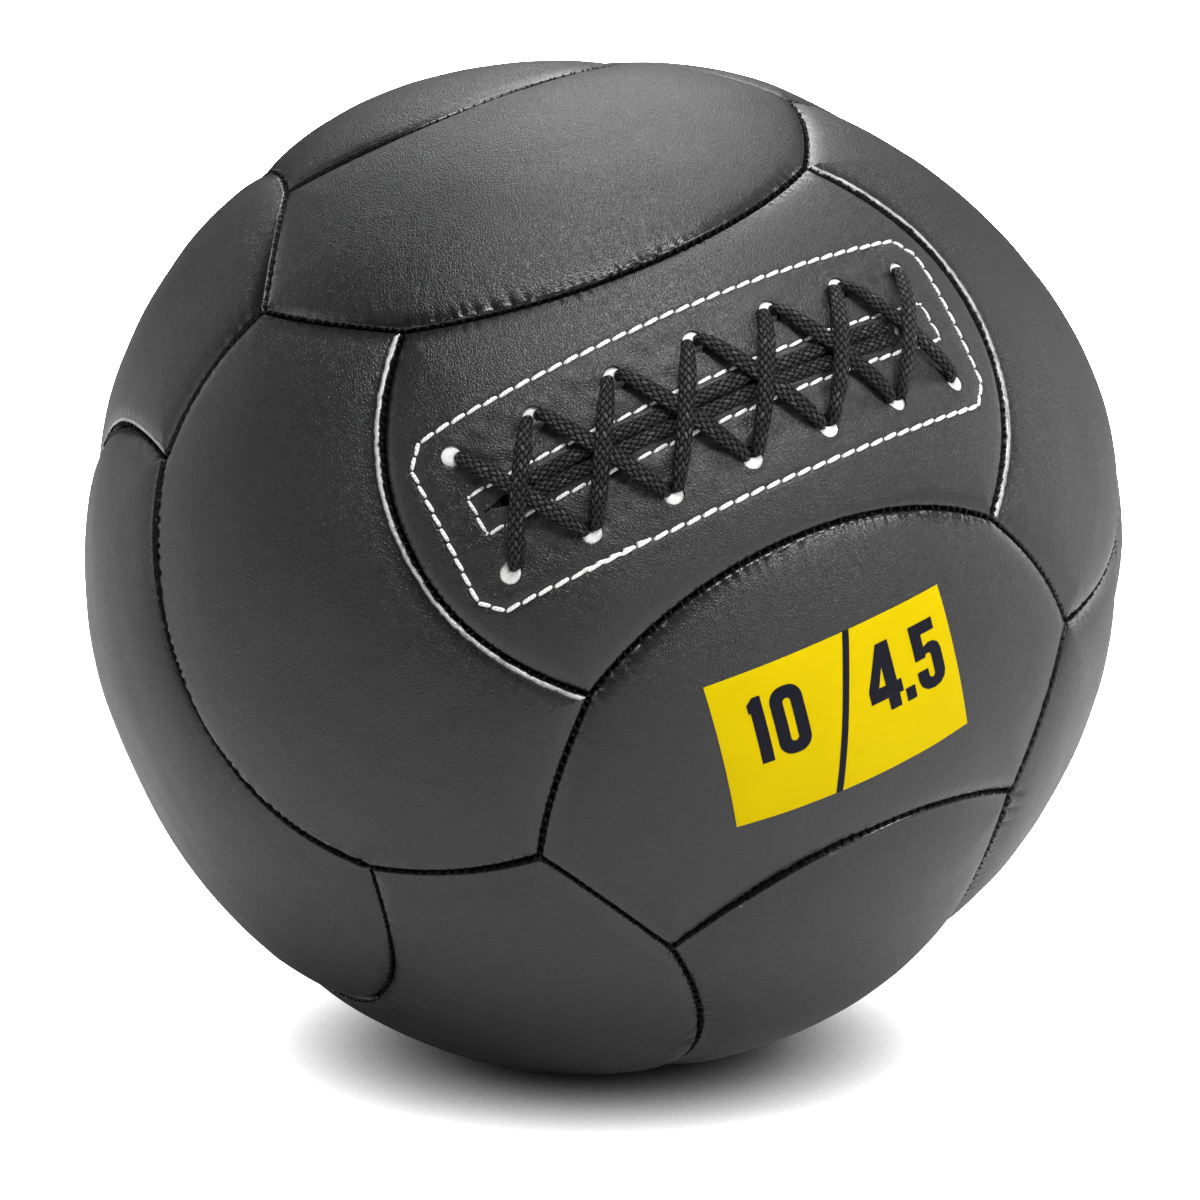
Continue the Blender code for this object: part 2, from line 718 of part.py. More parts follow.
def add_padding(kit):
    """The packed fibre filling, in an upper and a lower half round the ballast bag."""
    bm = ball_mesh(BAG_DIAMETER / 2 + BAG_CLEARANCE, BAG_CELLS)
    hollow = new_cutter("padding_cutter", bm, kit["cutters"], kit["centre"], turn=False)
    for name, side in (("upper_padding", 1), ("lower_padding", -1)):
        bm = ball_mesh(PADDING_RADIUS, CASING_CELLS)
        for vertex in bm.verts:
            vertex.co = in_world(vertex.co)
        bmesh.ops.bisect_plane(
            bm, geom=list(bm.verts) + list(bm.edges) + list(bm.faces), dist=MERGE_DISTANCE,
            plane_co=Vector((0, 0, side * PADDING_SPLIT / 2)), plane_no=Vector((0, 0, -side)),
            clear_outer=True,
        )
        bmesh.ops.holes_fill(bm, edges=[edge for edge in bm.edges if edge.is_boundary], sides=0)
        half = new_part(name, bm, kit["materials"]["fibre"], kit["parts"], kit["centre"], turn=False)
        cut(half, hollow)


def add_ballast(kit):
    """The cloth bag at the middle with its filling neck, and the grains that it holds."""
    bm = ball_mesh(BAG_DIAMETER / 2, BAG_CELLS)
    bag = new_part("ballast_bag", bm, kit["materials"]["grey cloth"], kit["parts"], kit["centre"], turn=False)
    solidify(bag, BAG_WALL)
    bm = bmesh.new()
    bmesh.ops.create_cone(
        bm, cap_ends=True, segments=BAG_NECK_SEGMENTS,
        radius1=BAG_NECK / 2, radius2=BAG_NECK / 2, depth=OVERRUN,
    )
    for vertex in bm.verts:
        vertex.co.z += BAG_DIAMETER / 2
    cut(bag, new_cutter("neck_cutter", bm, kit["cutters"], kit["centre"], turn=False))
    bm = ball_mesh(BAG_DIAMETER / 2 - BAG_WALL - BALLAST_CLEARANCE, BAG_CELLS)
    new_part("ballast", bm, kit["materials"]["grains"], kit["parts"], kit["centre"], turn=False)


def new_materials():
    return {
        "leather": new_material("black leather", (0.045, 0.045, 0.048), 0.5),
        "lace": new_material("black lace", (0.02, 0.02, 0.021), 0.85),
        "white cloth": new_material("white cloth", (0.8, 0.8, 0.78), 0.9),
        "white thread": new_material("white thread", (0.82, 0.82, 0.8), 0.7),
        "yellow film": new_material("yellow film", (0.82, 0.62, 0.02), 0.45),
        "fibre": new_material("grey fibre", (0.3, 0.3, 0.31), 0.95),
        "grey cloth": new_material("grey cloth", (0.2, 0.2, 0.22), 0.9),
        "grains": new_material("ballast grains", (0.25, 0.2, 0.15), 0.8),
    }


def build():
    clear_scene()
    parts = new_collection("wall_ball")
    cutters = new_collection("cutters", shown=False)
    lacing_cutters = new_collection("lacing_cutters", shown=False)
    centre = bpy.data.objects.new("ball_centre", None)
    centre.location.z = CENTRE_HEIGHT
    parts.objects.link(centre)
    kit = {"parts": parts, "cutters": cutters, "centre": centre, "materials": new_materials()}

    panels = new_panels(kit)
    add_lacing_cutters(lacing_cutters, centre)
    cut(panels["laced_panel"], lacing_cutters)
    add_floor_cut(panels, kit)
    add_patch(lacing_cutters, kit)
    add_thread(
        "outer_topstitch",
        stitch_outline(OUTER_STITCH_PAST_ROW, OUTER_STITCH_OFFSET, OUTER_STITCH_CORNER),
        kit,
    )
    add_thread(
        "slit_topstitch",
        stitch_outline(SLIT_STITCH_PAST_ROW, SLIT_STITCH_OFFSET, SLIT_STITCH_CORNER),
        kit,
    )
    add_lace(kit)
    add_label_half("label_left_half", -1, kit)
    add_label_half("label_right_half", 1, kit)
    add_casing(kit)
    add_padding(kit)
    add_ballast(kit)


build()
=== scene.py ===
"""The looks of the laced wall ball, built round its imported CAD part.

Every piece is drawn in the pattern's frame, where the laced panel faces +X and its slit runs along Y,
and then laid on the ball as it rests. "Along" is a length beside the slit, "across" a length square to
it, and "height" is above the leather. Metres throughout.
"""

import math
from collections import namedtuple

import bmesh
import bpy
import numpy as np
from mathutils import Euler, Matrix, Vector
from mathutils.bvhtree import BVHTree
from mathutils.kdtree import KDTree


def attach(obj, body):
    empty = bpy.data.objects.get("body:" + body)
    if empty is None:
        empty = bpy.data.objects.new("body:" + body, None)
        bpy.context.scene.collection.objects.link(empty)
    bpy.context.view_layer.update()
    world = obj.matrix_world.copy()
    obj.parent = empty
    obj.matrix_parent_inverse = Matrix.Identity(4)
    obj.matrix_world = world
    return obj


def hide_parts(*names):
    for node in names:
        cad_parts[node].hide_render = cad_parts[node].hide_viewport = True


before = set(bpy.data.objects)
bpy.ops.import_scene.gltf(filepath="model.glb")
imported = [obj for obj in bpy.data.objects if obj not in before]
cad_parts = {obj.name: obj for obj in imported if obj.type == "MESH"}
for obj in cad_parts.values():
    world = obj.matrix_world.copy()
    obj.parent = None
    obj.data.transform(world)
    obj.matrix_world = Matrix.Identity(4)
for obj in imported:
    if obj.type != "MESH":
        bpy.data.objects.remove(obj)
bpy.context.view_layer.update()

# The ball and its seam pattern, as in the part's source
BALL_RADIUS = 0.178
SETTLE_DEPTH = 0.006
FLAT_DEPTH = 0.0005
SETTLE_ANGLE = math.sqrt(2 * SETTLE_DEPTH / BALL_RADIUS)
CENTRE = np.array([0.0, 0.0, BALL_RADIUS - SETTLE_DEPTH - FLAT_DEPTH])
TURN = np.array(Euler([math.radians(turn) for turn in (19.6, -29.5, -74.2)]).to_matrix())
SQUARE_LENGTH = 0.533
SQUARE_HEIGHT = 0.466
END_BOW = 0.239
END_FULLNESS = 2.25
SIDE_DRAW = 0.163
SHORT_BOW = -0.025

# How far the stuffed ball swells or sinks at the edge of the camera's view: angle, height
LUMPS = ((8, 0.0044), (25, 0.0040), (55, -0.001), (90, -0.0048), (180, -0.0017), (205, -0.0022),
         (238, -0.0022), (315, -0.003))
LUMP_REACH = 20.0
SWELLS = ((0.0004, 0.45, 5),)

# Panels: each kind's rough side and end, and the cells of their grids
SQUARE_SPAN = (0.205, 0.16)
CRESCENT_SPAN = (0.19, 0.125)
FINE_CELL = 0.0003
FINE_REACH = 0.012
COARSE_CELL = 0.0018
SEWN_CELL = 0.00085
LACED_CELL = 0.0009
SEAM_STEPS = 400

# Leather and its sewn edges
LEATHER = 0.002
SKIRT = 0.006
ROLL = 0.0013
ROLL_DEPTH = 0.0018
SEAM_OPEN = 0.0002
SEAM_OPEN_REACH = 0.0015
PILLOW_DEPTH = 0.0028
PILLOW_REACH = 0.0052
WIDE_PILLOW_SHARE = 0.3
WIDE_PILLOW_REACH = PILLOW_REACH * 3.5
LIP_HEIGHT = 0.0006
LIP_PLACE = 0.0012
LIP_REACH = 0.0009
TUCK_REACH = 0.0026
PUCKER_PITCH = 0.0054
PUCKER_HEIGHT = 0.0015
PUCKER_LEVEL = 0.75
PUCKER_REACH = 0.0045
PUCKER_START = 0.0008
SEAM_STITCH_PITCH = 0.0034
PINCH_DEPTH = 0.00034
PINCH_REACH = 0.0028
CALM_REACH = 0.02
DENTS = ((0.0003, 0.4), (0.00008, 0.13))
DRAWN_HEIGHT = 0.00012
DRAWN_LENGTH = 0.09
EASE_LENGTH = 0.16
STRENGTH_LENGTH = 0.05
WANDER_LENGTH = 0.03

# Threads in the seams
THREAD_HALF_LENGTH = 0.0009
THREAD_HALF_WIDTH = 0.00035
THREAD_DEPTH = 0.0026
THREAD_DROP = 0.0006
THREAD_LEAN = 0.5

# Lacing, and how far its middle lies from the panel's
LACING_ALONG = -0.0022
LACING_ACROSS = -0.0013
HOLES_IN_ROW = 7
HOLE_PITCH = 0.029
ROW_OFFSET = 0.0223
TOP_ROW_DRAWN = 0.0017
HOLE_RADIUS = 0.0034
HOLE_FLAT = 0.0008
ROW_HALF = HOLE_PITCH * (HOLES_IN_ROW - 1) / 2
SLIT_HALF = 0.0865
SLIT_HALF_WIDTH = 0.00028
# Where the slit gapes round the lace's ends: half width, middle, half length, fullness
MOUTHS = ((0.0026, -0.0722, 0.0108, 0.8), (0.0031, 0.0695, 0.0102, 0.7))
OUTER_HALF = (0.101, 0.0325)
OUTER_CORNER = 0.007
INNER_HALF = (0.0885, 0.0072)
INNER_CORNER = 0.0008
STITCH_PITCH = 0.0059
STITCH_GAP = 0.0001
STITCH_LIFT = 0.0003
STITCH_SUNK = 0.0004
STITCH_LEAN = 0.1
OUTER_STITCH = 0.0014
INNER_STITCH = 0.0012
SEWN_AGAIN = ((-0.066, -0.0323), (-0.042, -0.0321))
AGAIN_STITCH = 0.0013
AGAIN_LEAN = -0.16

# Camera
CAMERA_ELEVATION = 12.0
CAMERA_DISTANCE = 12 * 0.1745
SENSOR_WIDTH = 36.0
FOCAL_PIXELS = 6054.0
FRAME_PIXELS = 1200
CENTRE_PIXEL = (594.9, 561.5)


def unit(points):
    return points / np.linalg.norm(points, axis=-1, keepdims=True)


def hump(distance, reach, power=2):
    return np.exp(-((distance / reach) ** power))


def run_along(points):
    """How far along a line each of its points lies."""
    return np.concatenate([[0], np.cumsum(np.linalg.norm(np.diff(points, axis=0), axis=1))])


def waves(points, length, seed):
    """A smooth random field over the points, mostly between -1 and 1, its bumps about a length apart."""
    random, count = np.random.default_rng(seed), 16
    ways = unit(random.normal(size=(count, points.shape[-1])))
    phases = random.uniform(0, 2 * math.pi, count)
    lengths = length * random.uniform(0.7, 1.5, count)
    return np.cos(2 * math.pi * (points @ ways.T) / lengths + phases).sum(-1) / math.sqrt(2 * count)


def uneven(points, layers):
    """Several random fields as one, each given by its height, the length of its bumps and its seed."""
    return sum(height * waves(points, length, seed) for height, length, seed in layers)


def lumps(directions):
    """The swellings, by the angle between each direction and the lump's own."""
    tilt = math.radians(CAMERA_ELEVATION)
    total = np.zeros(directions.shape[:-1])
    for angle, height in LUMPS:
        side, rise = math.cos(math.radians(angle)), math.sin(math.radians(angle))
        way = np.array([side, math.sin(tilt) * rise, math.cos(tilt) * rise])
        apart = np.degrees(np.arccos(np.clip(directions @ way, -1, 1)))
        total += height * hump(apart, LUMP_REACH)
    return total


def in_world(points):
    """Points of the pattern's frame where they lie on the resting ball."""
    turned = points @ TURN.T
    length = np.linalg.norm(turned, axis=-1, keepdims=True)
    directions = turned / length
    swell = lumps(directions) + uneven(directions, SWELLS)
    turned = directions * (length + swell[..., None])
    below = np.arccos(np.clip(-directions[..., 2], -1, 1))
    turned[..., 2] += SETTLE_DEPTH * hump(below, SETTLE_ANGLE)
    turned += CENTRE
    turned[..., 2] = np.maximum(turned[..., 2], 0.0)
    return turned


def on_panel(along, across, height=0.0):
    along, across, height = np.broadcast_arrays(*(np.asarray(a, float) for a in (along, across, height)))
    angle = np.hypot(along, across) / BALL_RADIUS
    share = np.sinc(angle / math.pi) / BALL_RADIUS
    directions = np.stack([np.cos(angle), along * share, across * share], -1)
    return directions * (BALL_RADIUS + height)[..., None]


def on_lacing(along, across, height=0.0):
    return on_panel(np.asarray(along) + LACING_ALONG, np.asarray(across) + LACING_ACROSS, height)


def lacing_place(directions):
    """The along and across of directions, the other way round from on_lacing."""
    angle = np.arccos(np.clip(directions[..., 0], -1, 1))
    spread = np.maximum(np.hypot(directions[..., 1], directions[..., 2]), 1e-9)
    share = BALL_RADIUS * angle / spread
    return directions[..., 1] * share - LACING_ALONG, directions[..., 2] * share - LACING_ACROSS


def end_seam(share):
    bow = END_BOW * (1 - np.abs(2 * share - 1) ** END_FULLNESS)
    return unit(np.stack([np.ones_like(share), SQUARE_LENGTH + bow, SQUARE_HEIGHT * (2 * share - 1)], -1))


def side_seam(share):
    draw = SIDE_DRAW * (1 - (2 * share - 1) ** 2)
    return unit(np.stack([np.ones_like(share), SQUARE_LENGTH * (2 * share - 1), SQUARE_HEIGHT - draw], -1))


def short_seam(share):
    start = np.array([1, SQUARE_LENGTH, SQUARE_HEIGHT])
    way = np.ones(3) - start
    bow = np.array([0, -way[2], way[1]]) * SHORT_BOW * 4
    return unit(start + way * share[:, None] + bow * (share * (1 - share))[:, None])


def rolled(points, turns):
    return np.roll(points, turns, axis=-1)


def graded(length, stops, fine_stops, coarse):
    """Shares from 0 to 1 that pass each stop, fine beside the fine ones and coarse elsewhere."""
    shares = [0.0]
    for start, end in zip(stops, stops[1:]):
        place = np.linspace(start, end, SEAM_STEPS)
        near = np.min([np.abs(place - stop) for stop in fine_stops], axis=0) * length
        density = length / (FINE_CELL + (coarse - FINE_CELL) * np.minimum(1, near / FINE_REACH))
        count = np.concatenate([[0], np.cumsum((density[1:] + density[:-1]) / 2 * np.diff(place))])
        steps = max(1, round(count[-1]))
        shares += list(np.interp(np.arange(1, steps + 1) / steps * count[-1], count, place))
    return np.array(shares)


def square_sides(cell, slit):
    """A four-sided panel's columns and rows as shares, and its lower, upper, left and right sides."""
    columns = graded(SQUARE_SPAN[0], (0, 1), (0, 1), SEWN_CELL)
    rows = graded(SQUARE_SPAN[1], (0, 0.5, 1), (0, 0.5, 1) if slit else (0, 1), cell)
    upper, right = side_seam(columns), end_seam(rows)
    return columns, rows, upper * (1, 1, -1), upper, right * (1, -1, 1), right


def crescent_sides():
    columns = graded(CRESCENT_SPAN[0], (0, 1), (0, 1), SEWN_CELL)
    rows = graded(CRESCENT_SPAN[1], (0, 0.5, 1), (0, 1), COARSE_CELL)
    near = short_seam(rows[rows <= 0.5] * 2)
    right = np.concatenate([near, rolled(short_seam((1 - rows[rows > 0.5]) * 2), 2)])
    return columns, rows, side_seam(columns), rolled(end_seam(columns), 2), right * (1, -1, 1), right


def panel_directions(sides):
    """The directions of a panel's grid, rows by columns, from its four sides."""
    columns, rows, lower, upper, left, right = sides
    u, v = columns[None, :, None], rows[:, None, None]
    across = lower[None] * (1 - v) + upper[None] * v
    along = left[:, None] * (1 - u) + right[:, None] * u
    corners = (left[0] * (1 - u) + right[0] * u) * (1 - v) + (left[-1] * (1 - u) + right[-1] * u) * v
    return unit(across + along - corners)


class Seams:
    """Where each point of a panel's grid lies from the panel's edge.

    place is how far round the edge its nearest point is, reach how far away that point is, side which side
    it is on (0 to 3: lower, right, upper, left), and inward the way from there into the panel.
    """

    def __init__(self, directions):
        rows, columns = directions.shape[:2]
        sides = [directions[0], directions[1:, -1], directions[-1, -2::-1], directions[-2::-1, 0]]
        edge = np.concatenate(sides) * BALL_RADIUS
        numbers = np.repeat(np.arange(4), [columns - 1, rows - 1, columns - 1, rows - 1])
        starts, ways, run = edge[:-1], np.diff(edge, axis=0), run_along(edge)
        lengths = np.linalg.norm(ways, axis=1)
        points = directions.reshape(-1, 3) * BALL_RADIUS
        count, batch = len(points), 4000
        self.place, self.reach, self.side = np.empty(count), np.empty(count), np.empty(count, int)
        tangents = np.empty((count, 3))
        for start in range(0, count, batch):
            part = points[start : start + batch]
            shares = np.clip(((part[:, None] - starts) * ways).sum(-1) / lengths**2, 0, 1)
            gaps = np.linalg.norm(part[:, None] - starts - ways * shares[..., None], axis=-1)
            best = gaps.argmin(1)
            picked = np.arange(len(part))
            here = slice(start, start + len(part))
            self.reach[here] = gaps[picked, best]
            self.place[here] = run[best] + shares[picked, best] * lengths[best]
            self.side[here] = numbers[best]
            tangents[here] = ways[best] / lengths[best, None]
        toward = unit(points.mean(0)) * BALL_RADIUS - points
        for way in (tangents, unit(points)):
            toward = toward - way * (toward * way).sum(-1, keepdims=True)
        self.inward = unit(toward + 1e-12).reshape(directions.shape)
        for name in ("place", "reach", "side"):
            setattr(self, name, getattr(self, name).reshape(rows, columns))


# How strongly each side of a panel is puckered and pinched by its stitches, how proud its folded edge
# stands, and how far it is tucked under its neighbour
Style = namedtuple("Style", "pucker pinch lip tuck")
CRESCENT_STYLE = Style((1.0, 0.5, 0.3, 0.5), (1.0, 0.5, 0.3, 0.5), (0.4, 0.15, 1.0, 0.15), (0, 0, 0, 0))
SQUARE_STYLE = Style((0.35, 0.1, 0.35, 0.1), (0.4, 0.3, 0.4, 0.3), (0.1, 0, 0.1, 0), (0, 1, 0, 1))
UNDER_STYLE = CRESCENT_STYLE._replace(lip=(0.4, 0.15, 0.45, 0.15), tuck=(0, 0, 1, 0))
OVER_STYLE = SQUARE_STYLE._replace(lip=(0.1, 0.35, 0.1, 0), tuck=(0, 0, 0, 1))
STYLES = {
    "crescent_panel_front_top": UNDER_STYLE, "crescent_panel_front_bottom": UNDER_STYLE,
    "crescent_panel_left_bottom": CRESCENT_STYLE._replace(lip=(0.1, 0.1, 0.1, 0.1)),
    "square_panel_top": OVER_STYLE, "square_panel_bottom": OVER_STYLE,
}


def edge_height(seams, style, seed):
    """The leather's height at its edges: rolled in, pillowed, puckered by the thread, with a folded lip."""
    place, reach = seams.place[..., None], seams.reach
    pucker, pinch, lip, tuck = (np.array(shares)[seams.side] for shares in style)
    roll = np.clip(1 - reach / ROLL, 0, 1)
    height = -ROLL_DEPTH * (1 - np.sqrt(1 - roll**2))
    ease = 1 + 0.3 * waves(place, EASE_LENGTH, seed + 1)
    height -= PILLOW_DEPTH * ease * np.exp(-reach / PILLOW_REACH)
    height -= WIDE_PILLOW_SHARE * PILLOW_DEPTH * ease * hump(reach, WIDE_PILLOW_REACH)
    stands = LIP_HEIGHT * (1 + 0.35 * waves(place, WANDER_LENGTH, seed + 4))
    height += stands * lip * hump(reach - LIP_PLACE, LIP_REACH)
    height -= LIP_HEIGHT * tuck * hump(reach, TUCK_REACH)
    strength = np.clip(waves(place, STRENGTH_LENGTH, seed + 2) + 0.3, 0.05, 1.4) * pucker
    turn = (seams.place + 0.2 * reach) / PUCKER_PITCH + 0.5 * waves(place, WANDER_LENGTH, seed + 3)
    folds = np.abs(np.sin(math.pi * turn)) ** 0.6 - PUCKER_LEVEL
    fade = np.exp(-reach / PUCKER_REACH) * (1 - np.exp(-reach / PUCKER_START))
    height += PUCKER_HEIGHT * strength * folds * fade
    turn = seams.place / SEAM_STITCH_PITCH + 0.5 * waves(place, WANDER_LENGTH, seed + 5)
    drawn = pinch * np.clip(0.6 + waves(place, STRENGTH_LENGTH, seed + 6), 0.1, 1.4)
    return height - PINCH_DEPTH * drawn * np.cos(2 * math.pi * turn) * np.exp(-reach / PINCH_REACH)


def new_piece(name, points, faces, material, uv=None, marks=None):
    """A piece of the object, from points already in their places."""
    mesh = bpy.data.meshes.new(name)
    mesh.from_pydata(np.asarray(points).tolist(), [], [list(map(int, face)) for face in faces])
    if uv is not None:
        layer = mesh.uv_layers.new(name="run")
        layer.data.foreach_set("uv", np.asarray(uv, np.float32).ravel())
    if marks is not None:
        layer = mesh.attributes.new("lip", "FLOAT", "POINT")
        layer.data.foreach_set("value", np.asarray(marks, np.float32))
    mesh.materials.append(MATERIALS[material])
    mesh.shade_smooth()
    piece = bpy.data.objects.new(name, mesh)
    bpy.context.scene.collection.objects.link(piece)
    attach(piece, "root")
    return piece


def grid_faces(rows, columns, closed=False):
    """The faces of a grid of points, and in a closed one also those from its last column to its first."""
    index = np.arange(rows * columns).reshape(rows, columns)
    following = np.roll(index, -1, axis=1)
    faces = np.stack([index[:-1], following[:-1], following[1:], index[1:]], -1)
    return (faces if closed else faces[:, :-1]).reshape(-1, 4)


def caps(rows, columns):
    """The faces over the ends of a closed grid."""
    return [list(range(columns))[::-1], list(range((rows - 1) * columns, rows * columns))]


def free_edges(faces, count):
    """The edges that belong to one face only, each as its face runs through it."""
    edges = np.stack([faces, np.roll(faces, -1, axis=1)], -1).reshape(-1, 2)
    ordered = np.sort(edges, axis=1)
    _, first, number = np.unique(ordered[:, 0] * count + ordered[:, 1], return_index=True, return_counts=True)
    return edges[first[number == 1]]


def box_path(half, corner):
    """The corners of a chamfered box in order round it, closed."""
    length, height = half
    places = [(length, height - corner), (length - corner, height)]
    places += [(-x, y) for x, y in reversed(places)]
    places += [(-x, -y) for x, y in places]
    return np.array(places + places[:1])


def path_distance(along, across, path):
    nearest = np.full(along.shape, 1.0)
    for (x0, y0), (x1, y1) in zip(path, path[1:]):
        way = np.array([x1 - x0, y1 - y0])
        share = np.clip(((along - x0) * way[0] + (across - y0) * way[1]) / (way @ way), 0, 1)
        nearest = np.minimum(nearest, np.hypot(along - x0 - way[0] * share, across - y0 - way[1] * share))
    return nearest


def hole_places():
    for side in (1, -1):
        for number in range(HOLES_IN_ROW):
            drawn = TOP_ROW_DRAWN if side > 0 and number > 0 else 0.0
            yield number, side, HOLE_PITCH * number - ROW_HALF, side * ROW_OFFSET - drawn


def opening_distance(along, across):
    """How far each place is from the nearest hole or slit, less than nothing inside one."""
    half = np.full(np.shape(along), SLIT_HALF_WIDTH)
    for width, middle, reach, fullness in MOUTHS:
        half = np.maximum(half, width * np.clip(1 - ((along - middle) / reach) ** 2, 0, 1) ** fullness)
    nearest = np.maximum(np.abs(across) - half, np.abs(along) - SLIT_HALF)
    for _, side, hole_along, hole_across in hole_places():
        toward = np.clip((hole_across - across) * side, 0, HOLE_FLAT)
        gap = np.hypot(along - hole_along, across - hole_across + side * toward) - HOLE_RADIUS
        nearest = np.minimum(nearest, gap)
    return nearest


# What the lacing does to the leather round it: heights, each with its reach or length
OUTER_DENT = (0.0006, 0.0012)
INNER_DENT = (0.0005, 0.001)
SLIT_RISE = (0.0007, 0.0015)
CRINKLES = ((0.00045, 0.012, 61), (0.00014, 0.005, 62))
CRINKLE_REACH = 0.004
RIM_HEIGHT = 0.0005
RIM_PLACE = 0.0005
RIM_REACH = 0.0007
SECOND_RIM_HEIGHT = 0.00045
SECOND_RIM_PLACE = 0.0024
PULL = (0.0006, 0.003)


def lacing_relief(along, across):
    """How far the lacing draws the laced panel's leather up or down."""
    outer = path_distance(along, across, box_path(OUTER_HALF, OUTER_CORNER))
    inner = path_distance(along, across, box_path(INNER_HALF, INNER_CORNER))
    relief = -OUTER_DENT[0] * hump(outer, OUTER_DENT[1]) - INNER_DENT[0] * hump(inner, INNER_DENT[1])
    inside, framed = ((np.abs(along) < half[0]) & (np.abs(across) < half[1])
                      for half in (INNER_HALF, OUTER_HALF))
    relief += np.where(inside, SLIT_RISE[0] * (1 - np.exp(-inner / SLIT_RISE[1])), 0)
    crinkles = uneven(np.stack([along * 0.6, across], -1), CRINKLES)
    relief += np.where(framed, crinkles * (1 - np.exp(-outer / CRINKLE_REACH)), 0)
    for _, side, hole_along, hole_across in hole_places():
        gap = np.hypot(along - hole_along, across - hole_across)
        outward = np.clip((across - hole_across) * side / np.maximum(gap, 1e-6), -1, 1)
        rim = gap - HOLE_RADIUS
        far = np.clip(outward + 0.35, 0, 1)
        relief += RIM_HEIGHT * far * hump(rim - RIM_PLACE, RIM_REACH)
        relief += SECOND_RIM_HEIGHT * far * hump(rim - SECOND_RIM_PLACE, RIM_REACH) * (side > 0)
        relief -= PULL[0] * (1 - far) * hump(rim, PULL[1])
    return relief


def cut_openings(directions):
    """Moves a grid's points onto the openings' edges, and says which lie inside one."""
    along, across = lacing_place(directions)
    distance = opening_distance(along, across)
    step = 0.00005
    slope_along = (opening_distance(along + step, across) - distance) / step
    slope_across = (opening_distance(along, across + step) - distance) / step
    steep = np.maximum(slope_along**2 + slope_across**2, 0.2)
    inside = distance < 0
    rows, columns = inside.shape
    outside = np.pad(~inside, 1)
    beside = np.any([outside[i : i + rows, j : j + columns] for i in range(3) for j in range(3)], axis=0)
    move = inside & beside
    along = np.where(move, along - distance * slope_along / steep, along)
    across = np.where(move, across - distance * slope_across / steep, across)
    return np.where(move[..., None], unit(on_lacing(along, across)), directions), inside


SURFACES = {}


def leather_height(directions, node):
    """How high the panel's leather lies over the ball's round in these directions of the pattern's frame."""
    heights = []
    for way in directions.reshape(-1, 3):
        way = Vector(way)
        place, _, _, _ = SURFACES[node].ray_cast(way * (BALL_RADIUS + 0.01), -way, 0.02)
        heights.append(place.length - BALL_RADIUS if place else 0.0)
    return np.array(heights).reshape(directions.shape[:-1])


def panel_piece(node, directions, seams, turns, signs, seed, style, laced=False):
    """A panel's leather with its turned-in edges, and with its openings where it is laced."""
    rows, columns = directions.shape[:2]
    faces = grid_faces(rows, columns)
    drawn_in = SEAM_OPEN * np.exp(-seams.reach / SEAM_OPEN_REACH)
    directions = unit(directions * BALL_RADIUS + seams.inward * drawn_in[..., None])
    height = edge_height(seams, style, seed)
    if laced:
        directions, inside = cut_openings(directions)
        faces = faces[~inside.ravel()[faces].all(1)]
        height = height + lacing_relief(*lacing_place(directions))
    turned = rolled(directions, turns) * signs
    dents = uneven(turned, [(*dent, seed + 7 + number) for number, dent in enumerate(DENTS)])
    stretch = np.random.default_rng(seed).permutation((1.0, 0.3, 0.2))
    drawn = DRAWN_HEIGHT * waves(turned * stretch, DRAWN_LENGTH, seed + 9)
    height = height + (dents + drawn) * np.minimum(1, seams.reach / CALM_REACH)
    points = (turned * (BALL_RADIUS + height)[..., None]).reshape(-1, 3)
    SURFACES[node] = BVHTree.FromPolygons(points.tolist(), faces.tolist())
    rims = free_edges(faces, len(points))
    rim_points = np.unique(rims)
    lowered = np.full(len(points), -1)
    lowered[rim_points] = len(points) + np.arange(len(rim_points))
    reach = seams.reach.ravel()
    depth = np.where(reach[rim_points] < 1e-4, SKIRT, LEATHER)
    deep = points[rim_points] * (1 - depth / np.linalg.norm(points[rim_points], axis=1))[:, None]
    walls = np.stack([rims[:, 1], rims[:, 0], lowered[rims[:, 0]], lowered[rims[:, 1]]], -1)
    faces = np.concatenate([faces, walls])
    if np.prod(signs) < 0:
        faces = faces[:, ::-1]
    runs = np.stack([seams.place.ravel(), reach], -1)
    runs = np.concatenate([runs, runs[rim_points]])[faces.ravel()]
    lips = np.array(style.lip, float)[seams.side.ravel()]
    lips = np.concatenate([lips, lips[rim_points]])
    points = in_world(np.concatenate([points, deep]))
    piece = new_piece(node + "_leather", points, faces, "leather", runs * 100, lips)
    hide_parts(node)


SEWN = []


def make_panels():
    """The six four-sided panels, each with the two crescents that its long sides meet."""
    words = (("back", "front"), ("left", "right"), ("bottom", "top"))
    square, crescent, laced = (
        (grid, Seams(grid))
        for grid in map(panel_directions, (square_sides(COARSE_CELL, False), crescent_sides(),
                                           square_sides(LACED_CELL, True)))
    )
    seed = 100
    for face in range(3):
        other = (face + 2) % 3
        for side in (-1, 1):
            seed += 20
            signs = np.array([side if axis == face else 1 for axis in range(3)])
            if (face, side) == (0, 1):
                panel_piece("laced_panel", *laced, face, signs, seed, SQUARE_STYLE, laced=True)
            else:
                name = f"square_panel_{words[face][side > 0]}"
                panel_piece(name, *square, face, signs, seed, STYLES.get(name, SQUARE_STYLE))
            for other_side in (-1, 1):
                seed += 20
                sides = {face: side, other: other_side}
                name = "crescent_panel_" + "_".join(words[axis][sides[axis] > 0] for axis in sorted(sides))
                signs = np.array([sides.get(axis, 1) for axis in range(3)])
                panel_piece(name, *crescent, face, signs, seed, STYLES.get(name, CRESCENT_STYLE))
                SEWN.append((face, signs))


